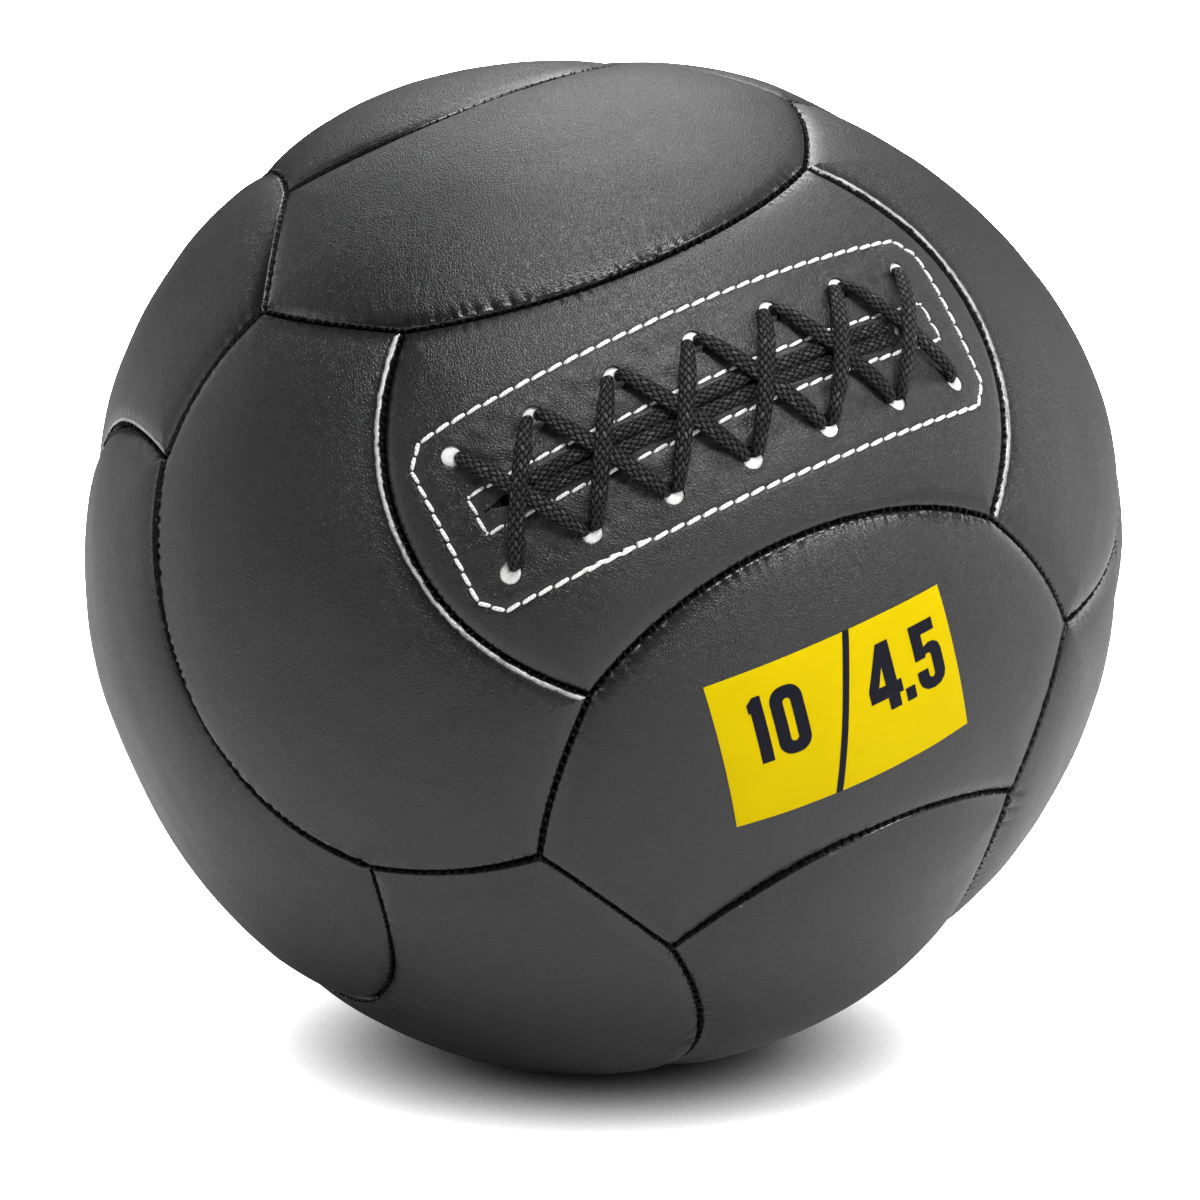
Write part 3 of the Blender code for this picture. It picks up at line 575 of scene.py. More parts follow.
def tube_mesh(centres, wides, thicks, sides):
    """Rings round the centres, as points and faces, with how far round and along each corner lies."""
    turn = 2 * math.pi * np.arange(sides) / sides
    rings = (centres[:, None] + wides[:, None] * np.cos(turn)[None, :, None]
             + thicks[:, None] * np.sin(turn)[None, :, None])
    count = len(centres)
    ring, side = np.meshgrid(np.arange(count - 1), np.arange(sides), indexing="ij")
    round_to = np.stack([side, side + 1, side + 1, side], -1) / sides
    along_to = run_along(centres)[np.stack([ring, ring, ring + 1, ring + 1], -1)]
    uv = np.stack([round_to, along_to * 100], -1).reshape(-1, 2)
    faces = grid_faces(count, sides, closed=True).tolist() + caps(count, sides)
    return rings.reshape(-1, 3), faces, np.concatenate([uv, np.zeros((2 * sides, 2))])


def joined(parts):
    """Several meshes' points, faces and corner values as one."""
    points, faces, uvs, start = [], [], [], 0
    for part_points, part_faces, part_uv in parts:
        points.append(part_points)
        faces += [[corner + start for corner in face] for face in part_faces]
        uvs.append(part_uv)
        start += len(part_points)
    return np.concatenate(points), faces, np.concatenate(uvs)


def lacing_points(points, on_leather=False):
    """Points given as along, across and height, on the resting ball."""
    along, across, heights = (points[..., axis] for axis in range(3))
    if on_leather:
        heights = heights + leather_height(unit(on_lacing(along, across)), "laced_panel")
    return in_world(on_lacing(along, across, heights))


def make_seam_thread():
    """The dark thread that crosses every seam: each crescent sews four, so that each comes once."""
    random = np.random.default_rng(9)
    share = np.linspace(0, 1, SEAM_STEPS)
    short = short_seam(share)
    seams = (side_seam(share), rolled(end_seam(share), 2), short, short * (1, -1, 1))
    share = np.linspace(-1, 1, 5)
    depths = THREAD_DEPTH + THREAD_DROP * share**2
    widths = THREAD_HALF_WIDTH * np.sqrt(1 - 0.55 * share**2)
    parts = []
    for seam in (rolled(seam, turns) * signs * BALL_RADIUS for turns, signs in SEWN for seam in seams):
        run = run_along(seam)
        count = round(run[-1] / SEAM_STITCH_PITCH)
        for number in range(count):
            place = (number + 0.5 + random.uniform(-0.3, 0.3)) / count * run[-1]
            here, ahead = (np.array([np.interp(place + step, run, column) for column in seam.T])
                           for step in (-0.0005, 0.0005))
            along, out = unit(ahead - here), unit(here)
            way = np.cross(out, along) * math.cos(THREAD_LEAN) + along * math.sin(THREAD_LEAN)
            half = THREAD_HALF_LENGTH * random.uniform(0.5, 1.15)
            centres = here + way * (half * share)[:, None] - out * depths[:, None]
            parts.append(tube_mesh(centres, np.outer(widths, np.cross(way, out)), np.outer(widths, out), 6))
    points, faces, uv = joined(parts)
    new_piece("seam_thread", in_world(points), faces, "seam_thread", uv)


def one_stitch(start, end, width, lean, random):
    """A stitch between two needle holes: a short thread, thick in the middle, its ends in the leather."""
    share = np.linspace(0, 1, 11)
    swell = np.sqrt(np.clip(1 - np.abs(2 * share - 1) ** 4, 0.03, 1))
    way = end - start
    length = np.linalg.norm(way)
    side = np.array([-way[1], way[0]]) / length
    places = start + way * share[:, None] + side * (lean * (share - 0.5) * length)[:, None]
    places += side * random.normal(0, 0.00006)
    heights = -STITCH_SUNK + (STITCH_SUNK + STITCH_LIFT) * np.sin(math.pi * share) ** 0.22
    centres = np.column_stack([places, heights])
    wides = np.column_stack([np.outer(swell * width / 2, side), np.zeros(len(share))])
    thicks = np.column_stack([np.zeros((len(share), 2)), swell * width * 0.42])
    return tube_mesh(centres, wides, thicks, 10)


def stitched_line(path, pitch, width, lean, seed):
    random = np.random.default_rng(seed)
    parts = []
    for start, end in zip(path, path[1:]):
        length = np.linalg.norm(end - start)
        count = max(1, round(length / pitch))
        way = (end - start) / length
        for number in range(count):
            near = start + way * (length * number / count + STITCH_GAP / 2)
            far = start + way * (length * (number + 1) / count - STITCH_GAP / 2)
            parts.append(one_stitch(near, far, width * random.uniform(0.93, 1.07), lean, random))
    return parts


def make_topstitches():
    """The white stitching round the lacing, with the few stitches sewn over again, and round the slit."""
    outer = stitched_line(box_path(OUTER_HALF, OUTER_CORNER), STITCH_PITCH, OUTER_STITCH, STITCH_LEAN, 3)
    outer += stitched_line(np.array(SEWN_AGAIN), STITCH_PITCH * 0.8, AGAIN_STITCH, AGAIN_LEAN, 4)
    inner = stitched_line(box_path(INNER_HALF, INNER_CORNER), STITCH_PITCH, INNER_STITCH, STITCH_LEAN, 5)
    for name, parts in (("outer_topstitch", outer), ("slit_topstitch", inner)):
        points, faces, uv = joined(parts)
        piece = new_piece(name + "_thread", lacing_points(points, True), faces, "thread", uv)
        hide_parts(name)


# The lace: width and thickness where it is round, in a hole, where it lies flat, and in its ends
ROUND = (0.0043, 0.0037)
FLAT = (0.0055, 0.0032)
BENT = (0.0047, 0.0034)
INNER = (0.0044, 0.003)
TAIL = (0.0048, 0.0027)
TAIL_HALF = (0.0600, 0.0530)
TAIL_KEYS = 11
TAIL_ASIDE = 0.0025
TAIL_WANDER = 0.0003
PAIR = 0.0019
FIRST_ASIDE = 0.0020
LAST_ASIDE = -0.0006
LACE_HOLE_PLACE = 0.0211
INNER_REACH = 0.014
OVER_HEIGHT = 0.0052
UNDER_HEIGHT = 0.0034
SHALLOW_RUN = 0.0062
DEEP_RUN = 0.0095
LACE_STEP = 0.0007
BEAD_COLUMNS = 13
BEAD_PERIOD = 0.0030


def strand_side(number, way):
    """A single strand leaves its end hole towards the row's middle; a pair shares each of the others."""
    return {0: FIRST_ASIDE, HOLES_IN_ROW - 1: LAST_ASIDE}.get(number, way * PAIR)


def strand_keys(start, start_side, start_way, end, end_way, half, places):
    """Keys of a strand between two holes of opposite rows, at places given by across, height and size."""
    start_along, end_along = (
        HOLE_PITCH * number - ROW_HALF + strand_side(number, way)
        for number, way in ((start, start_way), (end, end_way))
    )
    keys = []
    for across, height, size in places:
        along = start_along + (end_along - start_along) * (half - across) / (2 * half)
        keys.append((along, start_side * across, height, *size, 1.0, 0.0))
    return keys


def crossing(start, start_side, start_way, end, end_way, top):
    """Keys of a strand over the leather, from inside one hole to inside the other."""
    half = [(LACE_HOLE_PLACE, -0.0048, ROUND), (0.0208, -0.0016, ROUND), (0.0194, 0.0012, ROUND),
            (0.0166, 0.0023, BENT), (0.0122, (0.0021 + top) / 2, FLAT), (0.0065, top - 0.0003, FLAT)]
    places = half + [(0.0, top, FLAT)] + [(-across, height, size) for across, height, size in half[::-1]]
    return strand_keys(start, start_side, start_way, end, end_way, LACE_HOLE_PLACE, places)


def inner_run(number, start_side, start_way, end_way, depth):
    places = [(across, -depth, INNER) for across in (INNER_REACH, 0.0, -INNER_REACH)]
    return strand_keys(number, start_side, start_way, number, end_way, INNER_REACH, places)


def lace_tail(side):
    """Keys of one loose end, tucked in at the left, along the slit and in again at the right."""
    places = [(-0.0790, 0.0012, 0, -0.0062, ROUND, 0), (-0.0765, 0.0012, 0, -0.0036, ROUND, 0),
              (-0.0738, 0.0015, 0, -0.0010, (0.0036, 0.0036), 0),
              (-0.0700, 0.0021, 0, 0.0004, (0.0044, 0.0031), 0)]
    for along in np.linspace(-TAIL_HALF[0], TAIL_HALF[1], TAIL_KEYS):
        places.append((along, TAIL_ASIDE, TAIL_WANDER * math.sin(along * 140 + side), 0.0008, TAIL, 0))
    places += [(0.0600, TAIL_ASIDE, 0, 0.0012, (0.0050, 0.0029), 0),
               (0.0650, 0.0020, -0.0004, 0.0013, (0.0044, 0.0032), 0),
               (0.0690, 0.0017, -0.0006, -0.0006, ROUND, 0), (0.0712, 0.0019, -0.0004, -0.0050, ROUND, 0.3),
               (0.0790, 0.0100, 0, -0.0070, ROUND, 1.0)]
    keys = [(along, side * aside + lean_aside, height, *size, turned, -side)
            for along, aside, lean_aside, height, size, turned in places]
    return keys + [(ROW_HALF, side * 0.0170, -0.0066, *ROUND, 1.0, 0.0)]


def lace_keys():
    """The whole lace: out along the slit, back through the holes, out through them and back again."""
    last = HOLES_IN_ROW - 1
    keys = lace_tail(1)
    for number in range(last, 0, -1):
        keys += crossing(number, 1, -1, number - 1, 1, OVER_HEIGHT)
        if number > 1:
            keys += inner_run(number - 1, -1, 1, -1, SHALLOW_RUN)
    keys += inner_run(0, -1, 0, 0, SHALLOW_RUN)
    for number in range(last):
        keys += crossing(number, 1, 1, number + 1, -1, UNDER_HEIGHT)
        if number + 1 < last:
            keys += inner_run(number + 1, -1, -1, 1, DEEP_RUN)
    return keys + lace_tail(-1)[::-1]


def smooth_run(keys, step):
    """Values along a smooth curve through the keys, a step apart by their first three numbers."""
    keys = np.array(keys)
    gaps = np.sqrt(np.maximum(np.linalg.norm(np.diff(keys[:, :3], axis=0), axis=1), 1e-6))
    knots = np.concatenate([[0], np.cumsum(gaps)])
    slopes = np.gradient(keys, knots, axis=0)
    fine = np.linspace(0, knots[-1], 24 * len(keys))
    index = np.clip(np.searchsorted(knots, fine, side="right") - 1, 0, len(keys) - 2)
    width = (knots[index + 1] - knots[index])[:, None]
    share = ((fine - knots[index])[:, None]) / width
    low, high = keys[index], keys[index + 1]
    values = (
        (2 * share**3 - 3 * share**2 + 1) * low
        + (share**3 - 2 * share**2 + share) * width * slopes[index]
        + (-2 * share**3 + 3 * share**2) * high
        + (share**3 - share**2) * width * slopes[index + 1]
    )
    run = run_along(values[:, :3])
    places = np.linspace(0, run[-1], round(run[-1] / step))
    return np.column_stack([np.interp(places, run, column) for column in values.T])


def make_lace():
    run = smooth_run(lace_keys(), LACE_STEP)
    centres, sizes, leans = run[:, :3], run[:, 3:5], run[:, 5:7]
    tangents = unit(np.gradient(centres, axis=0))
    leans = np.column_stack([leans, np.zeros(len(leans))])
    wides = unit(leans - tangents * (leans * tangents).sum(1)[:, None])
    thicks = np.cross(tangents, wides)
    points, faces, uv = tube_mesh(centres, wides * sizes[:, :1] / 2, thicks * sizes[:, 1:] / 2, 24)
    lace = new_piece("lace_braid", lacing_points(points), faces, "lace", uv)
    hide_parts("lace")


PATCH_HALF = (0.105, 0.0365)
PATCH_CORNER = 0.008
PATCH_COLUMNS = 260
PATCH_ROWS = 100
PATCH_CLEARANCE = 0.0002
HOLE_BULGE = 0.0018
HOLE_BULGE_REACH = 0.0044
STRAND_DENT = 0.0035
STRAND_DENT_REACH = 0.0016
STRAND_PLACE = 0.0022
PAIR_SPREAD = 1.8
SLIT_TROUGH = 0.0045
SLIT_TROUGH_REACH = 0.0045


def make_patch():
    """The white backing, fuller in each hole and drawn down under the lace and the slit."""
    rows, columns = (np.linspace(-half, half, count) for half, count in
                     ((PATCH_HALF[1], PATCH_ROWS), (PATCH_HALF[0], PATCH_COLUMNS)))
    across, along = np.meshgrid(rows, columns, indexing="ij")
    past = np.abs(along) - PATCH_HALF[0] + np.abs(across) - PATCH_HALF[1] + PATCH_CORNER
    past = np.clip(past, 0, None) / 2
    along = along - np.sign(along) * past
    across = across - np.sign(across) * past
    height = np.full(along.shape, -LEATHER - PATCH_CLEARANCE)
    for number, side, hole_along, hole_across in hole_places():
        gap = np.hypot(along - hole_along, across - hole_across - side * 0.001)
        height += HOLE_BULGE * hump(gap, HOLE_BULGE_REACH, 8)
        beside = along - hole_along - strand_side(number, 0)
        spread = 1.0 if number in (0, HOLES_IN_ROW - 1) else PAIR_SPREAD
        under = np.hypot(beside / spread, across - hole_across + side * STRAND_PLACE)
        height -= STRAND_DENT * hump(under, STRAND_DENT_REACH, 4)
    height -= SLIT_TROUGH * hump(across, SLIT_TROUGH_REACH)
    points = lacing_points(np.stack([along, across, height], -1)).reshape(-1, 3)
    piece = new_piece("lacing_patch_cloth", points, grid_faces(*along.shape), "white")
    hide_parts("lacing_patch")


# Weight label
LABEL_HALF = (0.0445, 0.0265)
LABEL_ANGLE_DROP = 0.0056
LABEL_PANEL = "crescent_panel_front_bottom"
LABEL_HEIGHT = 0.00012
LABEL_SWELL = 0.0001
FIGURE_HEIGHT = 0.00034
FIGURE_CELL = 0.002
SPLIT_HALF = 0.0012
SPLIT_OFFSET = -0.001
SPLIT_LEAN = 0.0147


def on_label(along, up, height=0.0):
    """Places beside and above the label's middle, on the panel below the laced one."""
    middle = np.array([0.5])
    near, far = side_seam(middle)[0], rolled(end_seam(middle), 2)[0]
    angle = (math.atan2(near[2], near[0]) + math.atan2(far[2], far[0])) / 2
    angle = angle + (LABEL_ANGLE_DROP - up) / BALL_RADIUS
    turn = along / BALL_RADIUS
    directions = np.stack([np.cos(angle) * np.cos(turn), np.sin(turn), -np.sin(angle) * np.cos(turn)], -1)
    return directions * (BALL_RADIUS + np.asarray(height))[..., None]


def label_points(along, up, height):
    """Places on the label, on the resting ball, at a height over the panel's leather."""
    return in_world(on_label(along, up, height + leather_height(unit(on_label(along, up)), LABEL_PANEL)))


def make_labels():
    for name, side in (("label_left_half", -1), ("label_right_half", 1)):
        up, share = np.meshgrid(np.linspace(-LABEL_HALF[1], LABEL_HALF[1], 36), np.linspace(0, 1, 30),
                                indexing="ij")
        split = SPLIT_OFFSET + SPLIT_LEAN * up / (2 * LABEL_HALF[1]) + side * SPLIT_HALF
        along = split + (side * LABEL_HALF[0] - split) * share
        edge = np.minimum(1 - np.abs((share - 0.5) * 2), 1 - np.abs(up) / LABEL_HALF[1])
        height = LABEL_HEIGHT + LABEL_SWELL * np.minimum(1, edge / 0.02)
        points = label_points(along, up, height).reshape(-1, 3)
        faces = grid_faces(*up.shape)
        if side < 0:
            faces = faces[:, ::-1]
        piece = new_piece(name + "_film", points, faces, "yellow")
        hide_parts(name)


def rounded_box(x0, y0, x1, y1, radius):
    corners = ((x1 - radius, y1 - radius), (x0 + radius, y1 - radius), (x0 + radius, y0 + radius),
               (x1 - radius, y0 + radius))
    turns = ((cx, cy, math.radians(90 * quarter + turn)) for quarter, (cx, cy) in enumerate(corners)
             for turn in range(0, 91, 15))
    return [(cx + radius * math.cos(turn), cy + radius * math.sin(turn)) for cx, cy, turn in turns]


def figure_outlines():
    """Plain condensed figures for the two weights and the slash between, in mm from the label's middle."""
    one = [(-32.2, -6.0), (-27.9, -6.0), (-27.9, 17.6), (-30.6, 17.6), (-32.9, 15.6), (-32.9, 12.4),
           (-32.2, 12.6)]
    zero = [rounded_box(-25.5, -6.2, -14.0, 17.8, 5.0), rounded_box(-21.1, -1.8, -18.4, 13.4, 1.3)]
    slash = [(-9.55, -26.4), (-7.15, -26.4), (7.55, 26.4), (5.15, 26.4)]
    four = [(15.3, -6.0), (19.8, -6.0), (19.8, -1.5), (21.5, -1.5), (21.5, 3.1), (19.8, 3.1), (19.8, 17.8),
            (15.0, 17.8), (8.7, 3.1), (8.7, -1.5), (15.3, -1.5)]
    four_hole = [(15.3, 3.1), (12.7, 3.1), (15.3, 9.8)]
    point = [(22.2, -6.0), (26.1, -6.0), (26.1, -1.4), (22.2, -1.4)]
    five = [(28.2, 5.4), (32.2, 5.4), (32.9, 6.5), (34.1, 6.5), (34.8, 5.7), (34.8, -1.4), (34.2, -2.2),
            (33.3, -2.2), (32.5, -1.4), (32.5, 1.5), (28.0, 1.5), (28.0, -1.6), (28.7, -3.9), (30.7, -5.6),
            (33.6, -6.2), (36.4, -5.6), (38.4, -3.9), (39.2, -1.6), (39.2, 6.0), (38.5, 8.4), (36.8, 9.8),
            (34.6, 10.0), (32.5, 9.2), (32.5, 13.6), (38.2, 13.6), (38.2, 17.8), (28.2, 17.8)]
    return {"ten": [one, *zero, slash], "four_and_a_half": [four, four_hole, point, five]}


def make_figures():
    """The label's figures, each filled outline cut into cells so that it bends with the ball."""
    for name, outlines in figure_outlines().items():
        curve = bpy.data.curves.new(name, "CURVE")
        curve.dimensions = "2D"
        curve.fill_mode = "BOTH"
        for outline in outlines:
            spline = curve.splines.new("POLY")
            spline.points.add(len(outline) - 1)
            for point, (x, y) in zip(spline.points, outline):
                point.co = (x / 1000, y / 1000, 0, 1)
            spline.use_cyclic_u = True
        flat = bpy.data.objects.new(name, curve)
        mesh = bpy.data.meshes.new_from_object(flat)
        bpy.data.objects.remove(flat)
        bm = bmesh.new()
        bm.from_mesh(mesh)
        for axis in (0, 1):
            for step in range(-23, 24):
                place, way = Vector((0, 0, 0)), Vector((0, 0, 0))
                place[axis], way[axis] = step * FIGURE_CELL, 1
                everything = list(bm.verts) + list(bm.edges) + list(bm.faces)
                bmesh.ops.bisect_plane(bm, geom=everything, dist=1e-7, plane_co=place, plane_no=way)
        bm.to_mesh(mesh)
        bm.free()
        along, up = np.array([vertex.co[:2] for vertex in mesh.vertices]).T
        faces = [list(face.vertices) for face in mesh.polygons]
        points = label_points(along, up, FIGURE_HEIGHT)
        piece = new_piece(f"figure_{name}", points, faces, "figures")
        face = piece.data.polygons[0]
        if face.normal.dot(face.center - Vector(CENTRE)) < 0:
            piece.data.flip_normals()


def math_node(operation, turned=False):
    """An operator between a value and another value or a number."""

    def apply(value, other):
        return value.shader.math(operation, *((other, value) if turned else (value, other)))

    return apply


class Value:
    """One output of a node, which takes sums as a number does."""

    def __init__(self, shader, socket):
        self.shader = shader
        self.socket = socket

    __add__ = __radd__ = math_node("ADD")
    __mul__ = __rmul__ = math_node("MULTIPLY")
    __sub__ = math_node("SUBTRACT")
    __rsub__ = math_node("SUBTRACT", turned=True)
    __pow__ = math_node("POWER")

    def output(self, key):
        return Value(self.shader, self.socket.node.outputs[key])


class Shader:
    """The node tree of a new material or world, with a short way to add a node and link it."""

    def __init__(self, owner, main="Principled BSDF"):
        self.owner = owner
        owner.use_nodes = True
        self.tree = owner.node_tree
        self.main = self.tree.nodes[main]

    def add(self, kind, output=0, settings=(), **inputs):
        """Adds a node; an input is named by its name or, as i0 and so on, by its number."""
        node = self.tree.nodes.new("ShaderNode" + kind)
        for name, value in dict(settings).items():
            setattr(node, name, value)
        for name, value in inputs.items():
            self.put(node.inputs[int(name[1:]) if name[1:].isdigit() else name.replace("_", " ")], value)
        return Value(self, node.outputs[output])

    def put(self, socket, value):
        if isinstance(value, Value):
            self.tree.links.new(value.socket, socket)
        else:
            socket.default_value = value

    def set(self, **inputs):
        """Sets the main node's inputs, and gives back the material or the world."""
        for name, value in inputs.items():
            self.put(self.main.inputs[name.replace("_", " ")], value)
        return self.owner

    def math(self, operation, *values):
        inputs = {f"i{number}": value for number, value in enumerate(values)}
        return self.add("Math", settings={"operation": operation}, **inputs)

    def mapped(self, value, from_low, from_high, to_low, to_high):
        return self.add("MapRange", Value=value, i1=from_low, i2=from_high, i3=to_low, i4=to_high)

    def ramp(self, value, *stops):
        """A ramp through stops, each a place and a grey or a colour."""
        ramp = self.add("ValToRGB", Fac=value)
        elements = ramp.socket.node.color_ramp.elements
        while len(elements) < len(stops):
            elements.new(0.5)
        for element, (place, colour) in zip(elements, stops):
            element.position = place
            element.color = (*colour, 1) if isinstance(colour, tuple) else (colour, colour, colour, 1)
        return ramp

    def mixed(self, share, first, grey):
        settings = {"data_type": "RGBA"}
        return self.add("Mix", output=2, settings=settings, i0=share, i6=first, i7=(grey, grey, grey, 1))

    def place(self):
        return self.add("TexCoord", output=3)

    def run(self):
        """How far round or along each mesh's edge or thread a point lies, and how far in or along it."""
        first = self.add("SeparateXYZ", Vector=self.add("UVMap", settings={"uv_map": "run"}))
        return first, first.output(1)

    def noise(self, place, scale, detail, rough, output=0):
        return self.add("TexNoise", output=output, Vector=place, Scale=scale, Detail=detail, Roughness=rough)

    def bump(self, height, distance, strength=1.0, normal=None):
        below = {} if normal is None else {"Normal": normal}
        return self.add("Bump", Height=height, Distance=distance, Strength=strength, **below)


def new_material(name):
    return Shader(bpy.data.materials.new(name))


def leather_material():
    """Black coated leather: a fine pebble grain and soft creases, pinched where it is sewn, with painted
    shade in the seam grooves and stitch nicks and a painted highlight, partly lighter wear, in patches along
    the folded lips.
    """
    s = new_material("black_grain_leather")
    place = s.place()
    warp = s.noise(place, 260, 2, 0.5, output=1)
    warped = s.add("Mix", output=1, settings={"data_type": "VECTOR"}, i0=0.0018, i4=place, i5=warp)
    cells = s.add("TexVoronoi", settings={"feature": "DISTANCE_TO_EDGE"}, Vector=warped, Scale=1000.0)
    grain = s.ramp(cells, (0.0, 0.0), (0.24, 1.0))
    pores = s.noise(place, 1700, 2, 0.6)
    creases = s.noise(place, 170, 5, 0.65)
    broad = s.noise(place, 16, 4, 0.55)
    run, reach = s.run()
    turn = (run + reach * 0.5 + s.noise(place, 90, 2, 0.5) * 0.5) * (math.pi / (SEAM_STITCH_PITCH * 100))
    beat = s.math("ABSOLUTE", s.math("COSINE", turn)) ** 5.0
    pinched = beat * s.mapped(reach, 0.01, 0.08, 1.0, 0.0)
    stretched = s.mapped(reach, 0.15, 0.7, 1.0, 0.0)
    grained = 0.9 - stretched * 0.7
    normal = s.bump(pinched * -1.0, 0.0004)
    normal = s.bump(creases, 0.0006, grained * 0.5, normal)
    normal = s.bump(grain, 0.00010, grained, normal)
    normal = s.bump(pores, 0.00018, grained, normal)
    shade = pores * 0.5 + broad * 0.5
    colour = s.ramp(shade, (0.32, (0.0032, 0.0032, 0.0033)), (0.68, (0.0135, 0.0135, 0.0139)))
    lip = s.add("Attribute", output=2, settings={"attribute_name": "lip"})
    fold = reach * 4.0
    ragged = fold + (s.noise(place, 260, 3, 0.6) - 0.5) * 0.7 * lip
    crest = s.ramp(ragged, (0.24, 0.0), (0.36, 1.0), (0.66, 0.8), (0.95, 0.0))
    flecks = (s.noise(place, 600, 2, 0.6) - 0.5) * 0.8
    # Painted highlight, partly lighter rubbed wear: the folded lips' crests are lightened towards grey in
    # patches.
    tone_and_painted_light = crest * s.mapped(s.noise(place, 130, 3, 0.6) + flecks + lip, 1.0, 1.6, 0.0, 1.0)
    # Painted shade: the seam groove and the nick at each stitch are darkened where shade would fall.
    dark = s.math("MAXIMUM", pinched * 0.5, s.ramp(fold, (0.14, 1.0), (0.34, 0.0)))
    # The painted highlight and the painted shade are mixed into the leather's colour here.
    colour = s.mixed(dark, s.mixed(tone_and_painted_light, colour, 0.5), 0.002)
    rough = broad * 0.16 + pores * 0.2 + 0.22 - tone_and_painted_light * 0.08 + dark * 0.2 - stretched * 0.15
    return s.set(Base_Color=colour, Roughness=rough, Normal=normal, Specular_IOR_Level=0.54)


def lace_material():
    """A round black braid: leaning beads of yarn in staggered columns, with painted shade in the gaps between
    and a painted sheen on the beads' crowns, each bead's tone differing at random.
    """
    s = new_material("black_braid")
    around, along = s.run()
    column = around * float(BEAD_COLUMNS)
    row = along * (1 / (BEAD_PERIOD * 100))
    first, second = row + column * 0.5, row - column * 0.5
    first_cell, second_cell = s.math("ROUND", first), s.math("ROUND", second)
    a, b = first - first_cell, second - second_cell
    lean = s.math("FLOORED_MODULO", first_cell + second_cell, 2.0) * 2.0 - 1.0
    up = (a + b) * 0.5
    tilted = a - b + up * lean * 0.85
    across, lengthwise = tilted * (1 / 0.54), up * (1 / 0.46)
    bead = s.math("SQRT", s.math("MAXIMUM", 1.0 - (across * across + lengthwise * lengthwise), 0.0))
    fibres = s.math("SINE", tilted * 24.0)
    fuzz = s.noise(s.place(), 1700, 3, 0.65)
    normal = s.bump(bead, 0.0009)
    normal = s.bump(fibres, 0.00005, 0.8, normal)
    normal = s.bump(fuzz, 0.00016, 0.7, normal)
    cell = s.add("CombineXYZ", i0=first_cell, i1=second_cell)
    each = s.add("TexWhiteNoise", settings={"noise_dimensions": "2D"}, Vector=cell)
    # Painted shade and sheen: the colour is darkest in the gaps between beads and lightest on their crowns,
    # each bead's tone also differing at random.
    tone_and_painted_light = bead * (fuzz * 0.6 + each**3.0 * 0.9)
    colour = s.ramp(tone_and_painted_light, (0.05, 0.003), (0.5, 0.016), (1.0, (0.06, 0.06, 0.061)))
    return s.set(Base_Color=colour, Roughness=0.45, Normal=normal, Specular_IOR_Level=bead**0.5 * 0.34 + 0.06)


def twisted(s, pitch):
    """The plies of a thread twisted once in a pitch, and its fuzz."""
    around, along = s.run()
    ply = s.math("SINE", (around * 2.0 + along * (1 / (pitch * 100))) * (2 * math.pi))
    return ply, s.noise(s.place(), 2500, 2, 0.6)


def seam_thread_material():
    s = new_material("black_waxed_thread")
    ply, fuzz = twisted(s, 0.0006)
    colour = s.ramp(fuzz, (0.3, 0.002), (0.75, 0.009))
    return s.set(Base_Color=colour, Roughness=0.6, Normal=s.bump(ply, 0.00006), Specular_IOR_Level=0.15)


def thread_material():
    s = new_material("white_twisted_thread")
    ply, fuzz = twisted(s, 0.0016)
    ply = (ply + 1.0) * 0.5
    normal = s.bump(fuzz, 0.0001, 0.5, s.bump(ply, 0.0002))
    colour = s.ramp(ply * 0.6 + fuzz * 0.4, (0.1, (0.62, 0.62, 0.61)), (0.6, (0.92, 0.92, 0.91)))
    return s.set(Base_Color=colour, Roughness=0.55, Normal=normal, Specular_IOR_Level=0.4)


def cloth_material(name, dark, light, pitch, depth=0.00015):
    """A woven or matted cloth with soft folds."""
    s = new_material(name)
    place = s.place()
    parts = s.add("SeparateXYZ", Vector=place)
    x, y, z = (s.math("SINE", parts.output(axis) * (2 * math.pi / pitch)) for axis in range(3))
    weave = x * y * z * 0.5 + 0.5
    fuzz = s.noise(place, 900, 3, 0.6)
    normal = s.bump(s.noise(place, 28, 3, 0.5), 0.002, 0.5)
    normal = s.bump(weave, depth, 0.7, normal)
    normal = s.bump(fuzz, depth, 0.5, normal)
    colour = s.ramp(weave * 0.35 + fuzz * 0.65, (0.3, dark), (0.7, light))
    return s.set(Base_Color=colour, Roughness=0.85, Normal=normal, Sheen_Weight=0.2)


def film_material():
    s = new_material("yellow_film")
    place = s.place()
    fine = s.noise(place, 1300, 2, 0.6)
    colour = s.ramp(s.noise(place, 60, 4, 0.6), (0.3, (0.58, 0.43, 0.0)), (0.7, (0.62, 0.46, 0.0)))
    normal = s.bump(fine, 0.00005, 0.5)
    return s.set(Base_Color=colour, Roughness=fine * 0.15 + 0.55, Normal=normal, Specular_IOR_Level=0.04)


def figure_material():
    s = new_material("dark_figures")
    fine = s.noise(s.place(), 1300, 2, 0.6)
    colour = s.ramp(fine, (0.3, (0.003, 0.003, 0.008)), (0.7, (0.007, 0.007, 0.016)))
    return s.set(Base_Color=colour, Roughness=0.6, Normal=s.bump(fine, 0.00005, 0.5), Specular_IOR_Level=0.12)


def grains_material():
    s = new_material("loose_grains")
    place = s.place()
    cells, tint = (s.add("TexVoronoi", output=output, Vector=place, Scale=260.0) for output in (0, 1))
    colour = s.ramp(s.add("SeparateColor", Color=tint), (0.1, (0.12, 0.08, 0.05)), (0.9, (0.42, 0.33, 0.22)))
    return s.set(Base_Color=colour, Roughness=0.8, Normal=s.bump(1.0 - cells, 0.003, 0.9))


